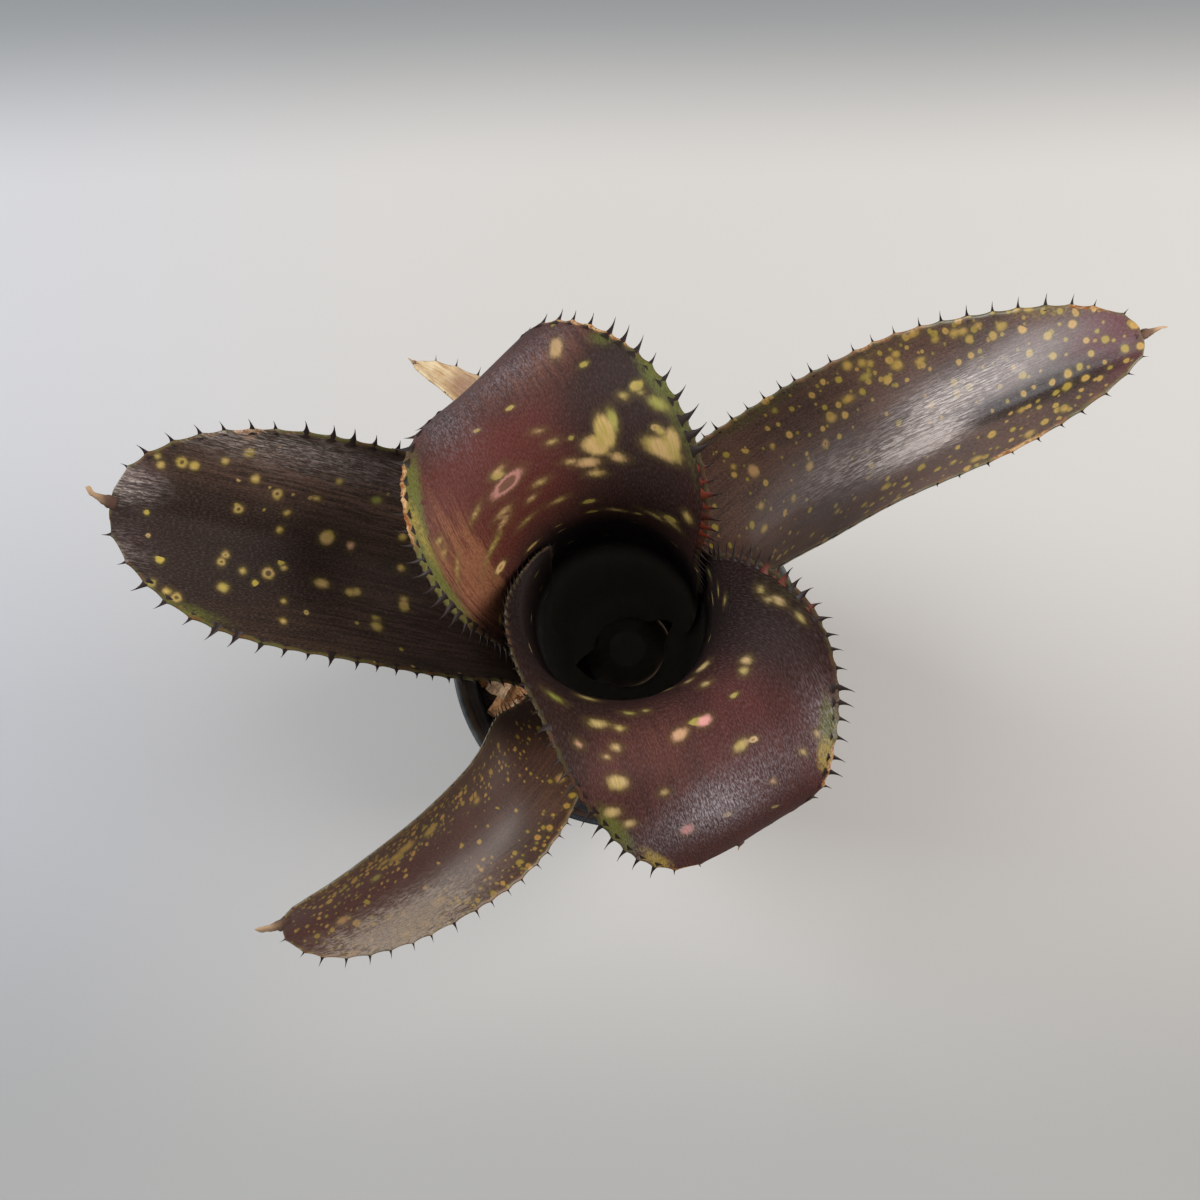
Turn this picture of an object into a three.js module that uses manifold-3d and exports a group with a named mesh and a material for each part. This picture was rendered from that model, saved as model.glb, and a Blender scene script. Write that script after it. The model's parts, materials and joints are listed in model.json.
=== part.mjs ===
// Potted tubular bromeliad. Six stiff leaves spring from a short stem, roll round one another
// into an upright tube and spread at the top, with hooked spines along their edges and a
// withered point at each tip. The stem stands in bark mix in a 4 inch nursery pot.
// Millimetres, +Z up. The origin is the middle of the pot's flat underside, the long leaves
// reach out along X, and a leaf's bearing is its direction in degrees from +X towards +Y.
import * as THREE from "three";
import { mergeVertices } from "three/addons/utils/BufferGeometryUtils.js";
import Module from "manifold-3d";

// Driving dimensions

// Solids that touch keep this much air between them.
const CLEARANCE = 0.3;

const POT = {
  height: 85, rimRadius: 50, baseRadius: 36, wall: 1.6, floor: 2,
  lipHeight: 10.5, lipStep: 2.3, edge: 0.8,
  holes: 6, holeRadius: 4, holeCircle: 25, sides: 44,
};

const MIX = {
  top: 73, chips: 48, chipsFrom: 23.5, chipsTo: 38,
  chipLength: [5, 9.5], chipWidth: [3.5, 6.5], chipHeight: [2.5, 4.5],
  chipTilt: 0.33, chipRise: [-0.4, 0.9], seed: 11,
};

// The stem's outline from its foot in the mix to its rounded top, as [height, radius].
const STEM = [[56, 11], [58, 13.5], [75.5, 13.5], [80, 11.6], [84, 9.8], [88, 8], [93, 5], [96, 0]];
const STEM_SIDES = 24;

// The inner radius of the tube that the sheaths form, evenly spaced from its foot to its mouth.
const TUBE = { foot: 74, mouth: 250, radii: [8, 14.5, 18.2, 19.5, 20, 20.8, 22.2] };

// A sheath stands this far off the stem at its seat, and joins the tube over this height.
const SEAT_GAP = 0.5;
const SHEATH_RISE = 14;

// Each sheath widens counterclockwise, in millimetres per radian, so that one edge of a leaf
// lies inside its neighbour and the other outside.
const SPIRAL = 0.65;

// Slide and spiral die away within these shares of the blade's length.
const SLIDE_FADE = 0.4;
const SPIRAL_FADE = 0.5;

const BLADE_THICKNESS = 1.1;
const EDGE_THICKNESS = 0.75;

// A spine leans towards the leaf's tip by a share of its length. Its root is sunk in the blade.
const SPINE = { length: 3.6, base: 1.9, thickness: 0.75, root: 1.3, spacing: 5.8, lean: 0.22 };

// The withered point: its width and thickness at its root and at its bend, and how far along
// it the bend and the tip lie, with the tip's swing to one side, as shares of its length.
const MUCRO = { root: 2.5, sizes: [[2.4, 0.9], [1.6, 1.2]], bend: 0.5, reach: 0.9, swing: 0.4 };

// Cross sections of a leaf, closer together at the foot of its sheath and at its tip.
const SHEATH_ROW_STEP = 17;
const SHEATH_CROWDING = 1.4;
const BLADE_ROWS = 14;
const BLADE_END = 0.999;
const WALK_STEPS = 12;
const COLUMNS = 12;

// Leaves from the youngest, inside, to the oldest, outside. nest is how far the sheath lies
// outside the tube. The sheath runs from its seat on the stem up to its flare, wrap is its half
// angle along that height, and slide is how far it is turned round the tube at the flare, in
// degrees. The other lists run along the blade, from a step past the flare to the tip: pitch is
// the rise of the midline in degrees, turn its swing sideways, roll its tilt about its length,
// curl the half angle of the cross section, and half its half width. point is the length of
// the withered tip.
const LEAVES = [
  { name: "leaf_upper", colour: 0x4a3130, bearing: 117, nest: 0.8, seat: 86, flare: 225, slide: 0,
    wrap: [60, 104, 106, 104, 100, 96], length: 79, tipLength: 61, tipPower: 2,
    pitch: [87, 52, 13, -32, -68, -96], turn: [-2, -6, -4, 3, 13, 22], roll: [-1, -1, 0, 0, 0, 0],
    curl: [76, 48, 22, 8, 4, 9], half: [32.5, 34.5, 33, 29.5, 26, 26], point: 4 },
  { name: "leaf_lower", colour: 0x40282c, bearing: 310, nest: 0.8, seat: 84, flare: 232, slide: -42,
    wrap: [60, 108, 121, 131, 134, 134], length: 63, tipLength: 34, tipPower: 2,
    pitch: [87, 50, 14, -20, -49, -77], turn: [-6, -15, -19, -22, -18, -7], roll: [0, -4, -8, -4, 0, 2],
    curl: [104, 64, 29, 10, 4, 4], half: [42.5, 37, 31, 27.5, 28, 31], point: 4 },
  { name: "leaf_left", colour: 0x38322c, bearing: 166.5, nest: 4.4, seat: 80, flare: 175, slide: 0,
    wrap: [50, 92, 100, 98, 92, 86], length: 117, tipLength: 41, tipPower: 2.2,
    pitch: [52, 44, 35, 28, 21, 16], turn: [-3, 1, 2, 3, 3, 5], roll: [15, 6, 0, -4, -8, -10],
    curl: [63, 59, 55, 49, 40, 26], half: [29, 29, 28, 27, 26, 24], point: 6 },
  { name: "leaf_right", colour: 0x4c3a3a, bearing: 34.5, nest: 5, seat: 79, flare: 148, slide: 0,
    wrap: [50, 84, 92, 92, 88, 82], length: 153, tipLength: 46, tipPower: 2,
    pitch: [56, 50, 44, 39, 30, 18], turn: [6, -4, -11, -15, -14, -15], roll: [-15, -25, -23, -24, -21, -23],
    curl: [56, 58, 53, 50, 43, 40], half: [27, 24.5, 23.5, 22.5, 21, 21], point: 6 },
  { name: "leaf_lower_left", colour: 0x4a2c28, bearing: 230.5, nest: 6.9, seat: 77, flare: 118, slide: 0,
    wrap: [45, 60, 70, 70, 66, 60], length: 121, tipLength: 33, tipPower: 2.2,
    pitch: [56, 48, 40, 34, 32, 34], turn: [10, 3, -8, -16, -24, -35], roll: [-1, -16, -32, -39, -47, -61],
    curl: [26, 40, 50, 50, 46, 46], half: [13, 16.5, 19.3, 18.5, 17.5, 19], point: 8 },
  { name: "leaf_dry", colour: 0xb59a76, bearing: 125, nest: 7.9, seat: 75, flare: 94, slide: 0,
    wrap: [35, 48, 58, 60, 58, 52], length: 100, tipLength: 16, tipPower: 2,
    pitch: [63, 54, 44, 33, 20, 6], turn: [-10, -10, -7, 1, 15, 30], roll: [6, 9, 15, 24, 36, 41],
    curl: [34, 40, 46, 52, 56, 58], half: [18.5, 15, 11.5, 9, 7.5, 6], point: 3 },
];

const wasm = await Module();
wasm.setup();

const degrees = THREE.MathUtils.degToRad;
const lerp = THREE.MathUtils.lerp;
const smooth = THREE.MathUtils.smoothstep;

// A small seeded generator, so that the chips fall the same way each time.
function makeRandom(seed) {
  let state = seed;
  return (low, high) => {
    state = (state * 1664525 + 1013904223) % 4294967296;
    return lerp(low, high, state / 4294967296);
  };
}

// A smooth curve through evenly spaced values, read at t from 0 to 1.
function along(values, t) {
  const last = values.length - 1;
  const place = THREE.MathUtils.clamp(t, 0, 1) * last;
  const i = Math.min(Math.floor(place), last - 1);
  const f = place - i;
  const here = values[i];
  const next = values[i + 1];
  const before = i > 0 ? values[i - 1] : 2 * here - next;
  const after = i < last - 1 ? values[i + 2] : 2 * next - here;
  const bend = 2 * before - 5 * here + 4 * next - after;
  const twist = 3 * (here - next) + after - before;
  return here + 0.5 * f * (next - before + f * (bend + f * twist));
}

// A geometry as a solid that can be joined and cut.
function toSolid(geometry) {
  const bare = geometry.clone();
  bare.deleteAttribute("normal");
  bare.deleteAttribute("uv");
  const merged = mergeVertices(bare, 1e-5);
  return new wasm.Manifold(new wasm.Mesh({
    numProp: 3,
    vertProperties: new Float32Array(merged.attributes.position.array),
    triVerts: new Uint32Array(merged.index.array),
  }));
}

function toMesh(name, solid, colour, roughness) {
  const { vertProperties, triVerts } = solid.getMesh();
  const geometry = new THREE.BufferGeometry();
  geometry.setAttribute("position", new THREE.BufferAttribute(vertProperties, 3));
  geometry.setIndex(new THREE.BufferAttribute(triVerts, 1));
  geometry.computeVertexNormals();
  const material = new THREE.MeshStandardMaterial({ color: colour, roughness, flatShading: true });
  const mesh = new THREE.Mesh(geometry, material);
  mesh.name = name;
  return mesh;
}

// A turned solid about +Z from a closed outline of [radius, height] points.
function turned(outline, sides) {
  const points = outline.map(([radius, height]) => new THREE.Vector2(radius, height));
  return new THREE.LatheGeometry(points, sides).rotateX(Math.PI / 2);
}

// The pot: a tapered wall, a stepped lip and a flat floor with drain holes off its middle.

function potWallRadius(height) {
  const lipRadius = POT.rimRadius - POT.lipStep;
  return lerp(POT.baseRadius, lipRadius, height / POT.height);
}

function makePot() {
  const lipFoot = POT.height - POT.lipHeight;
  const atLip = potWallRadius(lipFoot);
  const outline = [
    [0, 0],
    [POT.baseRadius - POT.edge, 0],
    [POT.baseRadius, POT.edge],
    [atLip, lipFoot],
    [atLip + POT.lipStep, lipFoot + POT.edge],
    [POT.rimRadius, POT.height - POT.edge],
    [POT.rimRadius - POT.wall / 2, POT.height],
    [POT.rimRadius - POT.wall, POT.height - POT.edge],
    [atLip + POT.lipStep - POT.wall, lipFoot + 2 * POT.wall],
    [potWallRadius(lipFoot + POT.wall) - POT.wall, lipFoot + POT.wall],
    [potWallRadius(POT.floor) - POT.wall, POT.floor],
    [0, POT.floor],
  ];
  let pot = toSolid(turned(outline, POT.sides));
  for (let i = 0; i < POT.holes; i++) {
    const angle = (i + 0.5) * 2 * Math.PI / POT.holes;
    const drill = new THREE.CylinderGeometry(POT.holeRadius, POT.holeRadius, 4 * POT.floor, 12);
    drill.rotateX(Math.PI / 2);
    drill.translate(POT.holeCircle * Math.cos(angle), POT.holeCircle * Math.sin(angle), 0);
    pot = pot.subtract(toSolid(drill));
  }
  return toMesh("nursery_pot", pot, 0x25282c, 0.55);
}

// The mix: a plug that fills the pot, with bark chips sunk in its top round a plain hole.

function makeMix() {
  const side = (height) => potWallRadius(height) - POT.wall - CLEARANCE;
  const foot = POT.floor + CLEARANCE;
  const outline = [[0, foot], [side(foot), foot], [side(MIX.top), MIX.top], [0, MIX.top]];
  let mix = toSolid(turned(outline, POT.sides));

  const random = makeRandom(MIX.seed);
  const goldenAngle = Math.PI * (3 - Math.sqrt(5));
  for (let i = 0; i < MIX.chips; i++) {
    const spread = Math.sqrt((i + 0.5) / MIX.chips);
    const radius = lerp(MIX.chipsFrom, MIX.chipsTo, spread);
    const angle = i * goldenAngle + random(-0.1, 0.1);
    const chip = new THREE.BoxGeometry(
      random(...MIX.chipLength), random(...MIX.chipWidth), random(...MIX.chipHeight));
    chip.rotateX(random(-MIX.chipTilt, MIX.chipTilt));
    chip.rotateY(random(-MIX.chipTilt, MIX.chipTilt));
    chip.rotateZ(random(0, Math.PI));
    chip.translate(
      radius * Math.cos(angle), radius * Math.sin(angle), MIX.top + random(...MIX.chipRise));
    mix = mix.add(toSolid(chip));
  }

  const holeRadius = Math.max(...STEM.map(([, radius]) => radius)) + CLEARANCE;
  const holeFoot = STEM[0][0] - CLEARANCE;
  const hole = [[0, holeFoot], [holeRadius, holeFoot], [holeRadius, POT.height], [0, POT.height]];
  mix = mix.subtract(toSolid(turned(hole, STEM_SIDES)));
  return toMesh("potting_mix", mix, 0x7d5433, 0.95);
}

// The stem: a short stub that the leaves grow from, hidden among their sheaths.

function stemRadius(height) {
  const above = STEM.findIndex(([level]) => level > height);
  const [low, wide] = STEM[above - 1];
  const [high, narrow] = STEM[above];
  return lerp(wide, narrow, (height - low) / (high - low));
}

function makeStem() {
  const outline = STEM.map(([height, radius]) => [radius, height]);
  outline.unshift([0, STEM[0][0]]);
  return toMesh("stem", toSolid(turned(outline, STEM_SIDES)), 0x6b5a3c, 0.9);
}

// The leaves

function tubeRadius(height) {
  return along(TUBE.radii, (height - TUBE.foot) / (TUBE.mouth - TUBE.foot));
}

// How far the sheath's middle stands from the axis at a height.
function sheathRadius(leaf, height) {
  const atStem = stemRadius(leaf.seat) + SEAT_GAP + EDGE_THICKNESS / 2;
  const inTube = tubeRadius(height) + leaf.nest;
  return lerp(atStem, inTube, smooth(height, leaf.seat, leaf.seat + SHEATH_RISE));
}

// One cross section of a leaf: an arc about the midline. place is the point on the midline,
// up the direction in towards the arc's centre, side the way counterclockwise round the tube.
// radius and reach are the arc's radius and half angle, slide the angle of its middle away
// from the midline, and spiral the growth of its radius per radian.
function section(place, bearing, pitch, roll, radius, reach, slide, spiral) {
  const out = new THREE.Vector3(Math.cos(bearing), Math.sin(bearing), 0);
  const across = new THREE.Vector3(-Math.sin(bearing), Math.cos(bearing), 0);
  const inward = out.multiplyScalar(-Math.sin(pitch)).add(new THREE.Vector3(0, 0, Math.cos(pitch)));
  const up = inward.clone().multiplyScalar(Math.cos(roll)).addScaledVector(across, -Math.sin(roll));
  const side = across.multiplyScalar(Math.cos(roll)).addScaledVector(inward, Math.sin(roll));
  return { place, up, side, radius, reach, slide, spiral };
}

// The point of a section at u from -1, its clockwise edge, to 1.
function sectionPoint({ place, up, side, radius, reach, slide, spiral }, u) {
  const angle = reach * u + slide;
  const arm = radius + spiral * angle;
  return place.clone()
    .addScaledVector(up, radius - arm * Math.cos(angle))
    .addScaledVector(side, arm * Math.sin(angle));
}

function sheathRows(leaf) {
  return Math.max(4, Math.round((leaf.flare - leaf.seat) / SHEATH_ROW_STEP));
}

function sheathSections(leaf) {
  const bearing = degrees(leaf.bearing);
  const sections = [];
  const rows = sheathRows(leaf);
  for (let row = 0; row < rows; row++) {
    const t = (row / rows) ** SHEATH_CROWDING;
    const height = lerp(leaf.seat, leaf.flare, t);
    const radius = sheathRadius(leaf, height);
    const place = new THREE.Vector3(radius * Math.cos(bearing), radius * Math.sin(bearing), height);
    const rise = smooth(height, leaf.seat, leaf.seat + SHEATH_RISE);
    const reach = degrees(along(leaf.wrap, t));
    const slide = degrees(leaf.slide) * t;
    sections.push(section(place, bearing, Math.PI / 2, 0, radius, reach, slide, SPIRAL * rise));
  }
  return sections;
}

// How far the blade's outline has narrowed towards its tip, from 1 down to 0.
function tipTaper(leaf, t) {
  const left = (1 - t) * leaf.length / leaf.tipLength;
  return left < 1 ? Math.sqrt(1 - (1 - left) ** leaf.tipPower) : 1;
}

function bladeSections(leaf) {
  const bearing = degrees(leaf.bearing);
  const radius = sheathRadius(leaf, leaf.flare);
  const wrap = leaf.wrap.at(-1);
  const pitches = [90, ...leaf.pitch];
  const turns = [0, ...leaf.turn];
  const rolls = [0, ...leaf.roll];
  const curls = [wrap, ...leaf.curl];
  const halves = [degrees(wrap) * radius, ...leaf.half];

  const heading = (t) => {
    const rise = degrees(along(pitches, t));
    const way = bearing + degrees(along(turns, t));
    const flat = Math.cos(rise);
    return new THREE.Vector3(flat * Math.cos(way), flat * Math.sin(way), Math.sin(rise));
  };
  const place = new THREE.Vector3(radius * Math.cos(bearing), radius * Math.sin(bearing), leaf.flare);
  const sections = [];
  let walked = 0;
  for (let row = 0; row <= BLADE_ROWS; row++) {
    const t = BLADE_END * Math.sin(Math.PI / 2 * row / BLADE_ROWS);
    for (let i = 0; i < WALK_STEPS; i++) {
      const middle = lerp(walked, t, (i + 0.5) / WALK_STEPS);
      place.addScaledVector(heading(middle), leaf.length * (t - walked) / WALK_STEPS);
    }
    walked = t;
    const curl = degrees(along(curls, t));
    sections.push(section(
      place.clone(), bearing + degrees(along(turns, t)), degrees(along(pitches, t)),
      degrees(along(rolls, t)), along(halves, t) / curl, curl * tipTaper(leaf, t),
      degrees(leaf.slide) * (1 - smooth(t, 0, SLIDE_FADE)),
      SPIRAL * (1 - smooth(t, 0, SPIRAL_FADE))));
  }
  return sections;
}

// The thin closed solid round a grid of points: both faces are cut into triangles alike.
function thickened(grid) {
  const rows = grid.length;
  const columns = grid[0].length;
  const positions = [];
  for (const face of [1, -1]) {
    for (let i = 0; i < rows; i++) {
      for (let j = 0; j < columns; j++) {
        const length = grid[Math.min(i + 1, rows - 1)][j].clone().sub(grid[Math.max(i - 1, 0)][j]);
        const width = grid[i][Math.min(j + 1, columns - 1)].clone().sub(grid[i][Math.max(j - 1, 0)]);
        const normal = length.cross(width).normalize();
        const u = 2 * j / (columns - 1) - 1;
        const thickness = lerp(BLADE_THICKNESS, EDGE_THICKNESS, u * u);
        positions.push(...grid[i][j].clone().addScaledVector(normal, face * thickness / 2));
      }
    }
  }
  const index = [];
  const front = (i, j) => i * columns + j;
  const back = (i, j) => rows * columns + front(i, j);
  const quad = (a, b, c, d) => index.push(a, b, c, a, c, d);
  for (let i = 0; i < rows - 1; i++) {
    for (let j = 0; j < columns - 1; j++) {
      quad(front(i, j), front(i + 1, j), front(i + 1, j + 1), front(i, j + 1));
      index.push(back(i, j), back(i + 1, j + 1), back(i + 1, j));
      index.push(back(i, j), back(i, j + 1), back(i + 1, j + 1));
    }
    const far = columns - 1;
    quad(front(i, 0), back(i, 0), back(i + 1, 0), front(i + 1, 0));
    quad(front(i, far), front(i + 1, far), back(i + 1, far), back(i, far));
  }
  for (let j = 0; j < columns - 1; j++) {
    const end = rows - 1;
    quad(front(0, j), front(0, j + 1), back(0, j + 1), back(0, j));
    quad(front(end, j), back(end, j), back(end, j + 1), front(end, j + 1));
  }
  const geometry = new THREE.BufferGeometry();
  geometry.setAttribute("position", new THREE.Float32BufferAttribute(positions, 3));
  geometry.setIndex(index);
  return geometry;
}

// A pointed solid with a three-cornered ring at each listed place. sizes holds each ring's
// width along the direction side and its thickness along the direction through.
function pointed(places, sizes, side, through, tip) {
  const corners = [[-1, -0.5], [1, -0.5], [0, 1]];
  const positions = [];
  places.forEach((place, i) => {
    for (const [a, b] of corners) {
      const corner = place.clone().addScaledVector(side, a * sizes[i][0] / 2);
      positions.push(...corner.addScaledVector(through, b * sizes[i][1] / 2));
    }
  });
  positions.push(...tip);
  const index = [0, 2, 1];
  for (let ring = 0; ring < places.length; ring++) {
    for (let j = 0; j < 3; j++) {
      const here = 3 * ring + j;
      const beside = 3 * ring + (j + 1) % 3;
      if (ring < places.length - 1) {
        index.push(here, beside, beside + 3, here, beside + 3, here + 3);
      } else {
        index.push(here, beside, 3 * places.length);
      }
    }
  }
  const geometry = new THREE.BufferGeometry();
  geometry.setAttribute("position", new THREE.Float32BufferAttribute(positions, 3));
  geometry.setIndex(index);
  return geometry;
}

// Spines at even steps along one edge, from the upper sheath out to the tip.
function edgeSpines(grid, firstRow, edge, inner) {
  const spines = [];
  let wait = SPINE.spacing / 2;
  for (let row = firstRow; row < grid.length - 2; row++) {
    const start = grid[row][edge];
    const ahead = grid[row + 1][edge].clone().sub(start);
    const length = ahead.length();
    ahead.normalize();
    while (wait < length) {
      const foot = start.clone().addScaledVector(ahead, wait);
      const share = wait / length;
      const within = grid[row][inner].clone().lerp(grid[row + 1][inner], share);
      const out = foot.clone().sub(within);
      out.addScaledVector(ahead, -out.dot(ahead)).normalize();
      const root = foot.clone().addScaledVector(out, -SPINE.root);
      const tip = foot.clone().addScaledVector(out, SPINE.length);
      tip.addScaledVector(ahead, SPINE.lean * SPINE.length);
      const through = out.clone().cross(ahead);
      spines.push(pointed([root], [[SPINE.base, SPINE.thickness]], ahead, through, tip));
      wait += SPINE.spacing;
    }
    wait -= length;
  }
  return spines;
}

// The withered point that ends a leaf, bent to one side.
function mucro(leaf, sections) {
  const last = sections.at(-1);
  const ahead = last.place.clone().sub(sections.at(-3).place).normalize();
  const root = last.place.clone().addScaledVector(ahead, -MUCRO.root);
  const bend = last.place.clone().addScaledVector(ahead, MUCRO.bend * leaf.point);
  const tip = last.place.clone().addScaledVector(ahead, MUCRO.reach * leaf.point);
  tip.addScaledVector(last.side, -MUCRO.swing * leaf.point);
  const side = last.side.clone().addScaledVector(ahead, -last.side.dot(ahead)).normalize();
  const through = ahead.clone().cross(side);
  return pointed([root, bend], MUCRO.sizes, side, through, tip);
}

function makeLeaf(leaf) {
  const sections = [...sheathSections(leaf), ...bladeSections(leaf)];
  const grid = sections.map((row) => {
    return Array.from({ length: COLUMNS + 1 }, (_, j) => sectionPoint(row, 2 * j / COLUMNS - 1));
  });
  let solid = toSolid(thickened(grid));
  const firstRow = sheathRows(leaf) - 1;
  const extras = [
    ...edgeSpines(grid, firstRow, 0, 1),
    ...edgeSpines(grid, firstRow, COLUMNS, COLUMNS - 1),
    mucro(leaf, sections),
  ];
  for (const extra of extras) {
    solid = solid.add(toSolid(extra));
  }
  return toMesh(leaf.name, solid, leaf.colour, 0.5);
}

const plant = new THREE.Group();
plant.add(makePot(), makeMix(), makeStem(), ...LEAVES.map(makeLeaf));

export default plant;
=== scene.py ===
import json
import math

import bpy
import numpy as np
from mathutils import Matrix, Vector, noise

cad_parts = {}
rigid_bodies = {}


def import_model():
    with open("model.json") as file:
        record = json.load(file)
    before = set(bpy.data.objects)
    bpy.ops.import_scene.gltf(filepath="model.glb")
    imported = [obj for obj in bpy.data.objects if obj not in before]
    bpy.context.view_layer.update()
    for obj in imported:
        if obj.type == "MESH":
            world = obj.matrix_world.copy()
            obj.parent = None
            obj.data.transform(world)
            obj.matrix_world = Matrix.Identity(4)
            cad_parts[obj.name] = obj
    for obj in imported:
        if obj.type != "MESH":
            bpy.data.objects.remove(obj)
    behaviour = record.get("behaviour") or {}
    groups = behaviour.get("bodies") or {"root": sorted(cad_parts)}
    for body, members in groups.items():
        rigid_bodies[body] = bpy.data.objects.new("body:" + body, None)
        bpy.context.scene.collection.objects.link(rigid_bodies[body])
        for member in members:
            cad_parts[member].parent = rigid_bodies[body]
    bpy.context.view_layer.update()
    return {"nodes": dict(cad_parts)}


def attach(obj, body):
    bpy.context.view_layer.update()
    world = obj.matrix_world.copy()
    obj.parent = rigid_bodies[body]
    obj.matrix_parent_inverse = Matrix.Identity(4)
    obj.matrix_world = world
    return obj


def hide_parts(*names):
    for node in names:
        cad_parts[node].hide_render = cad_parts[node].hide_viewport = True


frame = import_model()


# The camera: a short telephoto held over the plant, a little to the front of it, looking almost
# straight down. Spots on the leaves are also placed by where it sees them.

PHOTO_SIZE = 1200
LENS = 72.42
SENSOR = 36.0
EYE = np.array([15.62, -38.98, 763.89])
SIGHT = np.array([-0.0345, 0.0780, -0.9964])
RIGHT = np.array([0.9994, 0.0, -0.0346])
UP = np.cross(RIGHT, SIGHT)


def seen_at(points):
    """Where the camera sees points, in pixels of the photograph."""
    away = points - EYE
    scale = PHOTO_SIZE * LENS / SENSOR / (away @ SIGHT)
    middle = PHOTO_SIZE / 2
    return np.stack([middle + scale * (away @ RIGHT), middle - scale * (away @ UP)], -1)


def add_object(name, data):
    """An object in the scene that shows this data."""
    thing = bpy.data.objects.new(name, data)
    bpy.context.scene.collection.objects.link(thing)
    return thing


camera = add_object("camera", bpy.data.cameras.new("camera"))
camera.data.lens = LENS
camera.data.sensor_width = SENSOR
camera.data.clip_start = 0.01
turn = Matrix([RIGHT, UP, -SIGHT]).transposed().to_4x4()
camera.matrix_world = Matrix.Translation(Vector(EYE) / 1000) @ turn
bpy.context.scene.camera = camera


# The nursery pot: a thin tapered shell of dark blue-grey plastic with a stepped lip, moulded in one
# shot with six drain holes in its floor. Handling and lime leave it scuffed and dusty at the rim.

POT_HEIGHT = 85
POT_RIM = 50
POT_FOOT = 36
POT_WALL = 1.6
POT_FLOOR = 2
POT_LIP = 10.5
POT_STEP = 2.3
DRAIN_HOLES = 6
DRAIN_RADIUS = 4
DRAIN_CIRCLE = 25


class Value:
    """A node's output, for use in formulas with numbers and other outputs."""

    def __init__(self, socket):
        self.socket = socket

    def formula(self, operation, first, second):
        tree = self.socket.id_data
        return make(tree, "ShaderNodeMath", {0: first, 1: second}, operation=operation)[0]

    __add__ = __radd__ = lambda self, other: self.formula("ADD", self, other)
    __sub__ = lambda self, other: self.formula("SUBTRACT", self, other)
    __rsub__ = lambda self, other: self.formula("SUBTRACT", other, self)
    __mul__ = __rmul__ = lambda self, other: self.formula("MULTIPLY", self, other)
    __truediv__ = lambda self, other: self.formula("DIVIDE", self, other)
    __lt__ = lambda self, other: self.formula("LESS_THAN", self, other)


class Outputs:
    """The outputs of a node, by name or number."""

    def __init__(self, node):
        self.node = node

    def __getitem__(self, name):
        return Value(self.node.outputs[name])


def feed(node, sockets):
    """Gives a node's inputs, by name or number, a value or a link each."""
    for name, value in sockets.items():
        if isinstance(value, Value):
            node.id_data.links.new(value.socket, node.inputs[name])
        else:
            node.inputs[name].default_value = value


def make(tree, kind, sockets=None, **settings):
    """Adds a node, with its settings first and then its inputs."""
    node = tree.nodes.new(kind)
    for name, setting in settings.items():
        setattr(node, name, setting)
    feed(node, sockets or {})
    return Outputs(node)


def paint(code):
    """A colour written as on a paint chart, as the linear light that Blender works in."""
    shares = [int(code[i:i + 2], 16) / 255 for i in (0, 2, 4)]
    return (*[s / 12.92 if s < 0.04 else ((s + 0.055) / 1.055) ** 2.4 for s in shares], 1)


def step(value, low, high):
    """0 below low, 1 above high, and smooth between them."""
    return make(value.socket.id_data, "ShaderNodeMapRange", {0: value, 1: low, 2: high},
                interpolation_type="SMOOTHSTEP")[0]


def blend(factor, first, second):
    """One colour turning into another, where each is an output or a code for paint."""
    first, second = [paint(tone) if isinstance(tone, str) else tone for tone in (first, second)]
    return make(factor.socket.id_data, "ShaderNodeMix", {0: factor, 6: first, 7: second},
                data_type="RGBA")[2]


def grain(vector, stretch, detail, seed=0.0, warp=0.0):
    """Cloudy noise from 0 to 1, with stretch cells to each unit of the vector, bent by warp."""
    tree = vector.socket.id_data
    place = make(tree, "ShaderNodeMapping", {"Vector": vector, "Scale": stretch,
                                             "Location": (seed, -seed, 2.7 * seed)})[0]
    return make(tree, "ShaderNodeTexNoise", {"Vector": place, "Scale": 1.0, "Detail": detail,
                                             "Roughness": 0.6, "Distortion": warp})[0]


def finish_material(material, colour, roughness, height=None, depth=0, **others):
    """Fills in a material's shader. height is its relief from 0 to 1, and depth that in mm."""
    tree = material.node_tree
    sockets = {"Base Color": colour, "Roughness": roughness, **others}
    if height is not None:
        sockets["Normal"] = make(tree, "ShaderNodeBump", {
            "Height": height, "Distance": depth / 1000})[0]
    feed(tree.nodes["Principled BSDF"], sockets)
    return material


def start_material(name):
    """A new material, and the place on the piece in metres."""
    material = bpy.data.materials.new(name)
    material.use_nodes = True
    return material, make(material.node_tree, "ShaderNodeTexCoord")["Object"]


def field(material, name, output="Vector"):
    """What the mesh carries under a name."""
    return make(material.node_tree, "ShaderNodeAttribute", attribute_name=name)[output]


def split(vector):
    """A vector's three numbers."""
    return make(vector.socket.id_data, "ShaderNodeSeparateXYZ", {0: vector})


def mesh_piece(name, points, faces, material):
    """A smooth mesh from points in millimetres."""
    mesh = bpy.data.meshes.new(name)
    mesh.from_pydata((np.asarray(points) / 1000).tolist(), [], faces)
    mesh.materials.append(material)
    mesh.shade_smooth()
    return add_object(name, mesh)


def settled(piece):
    """The piece with its modifiers worked out, as one plain mesh under the same name."""
    name = piece.name
    graph = bpy.context.evaluated_depsgraph_get()
    mesh = bpy.data.meshes.new_from_object(piece.evaluated_get(graph))
    bpy.data.objects.remove(piece)
    mesh.name = name
    return add_object(name, mesh)


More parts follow.
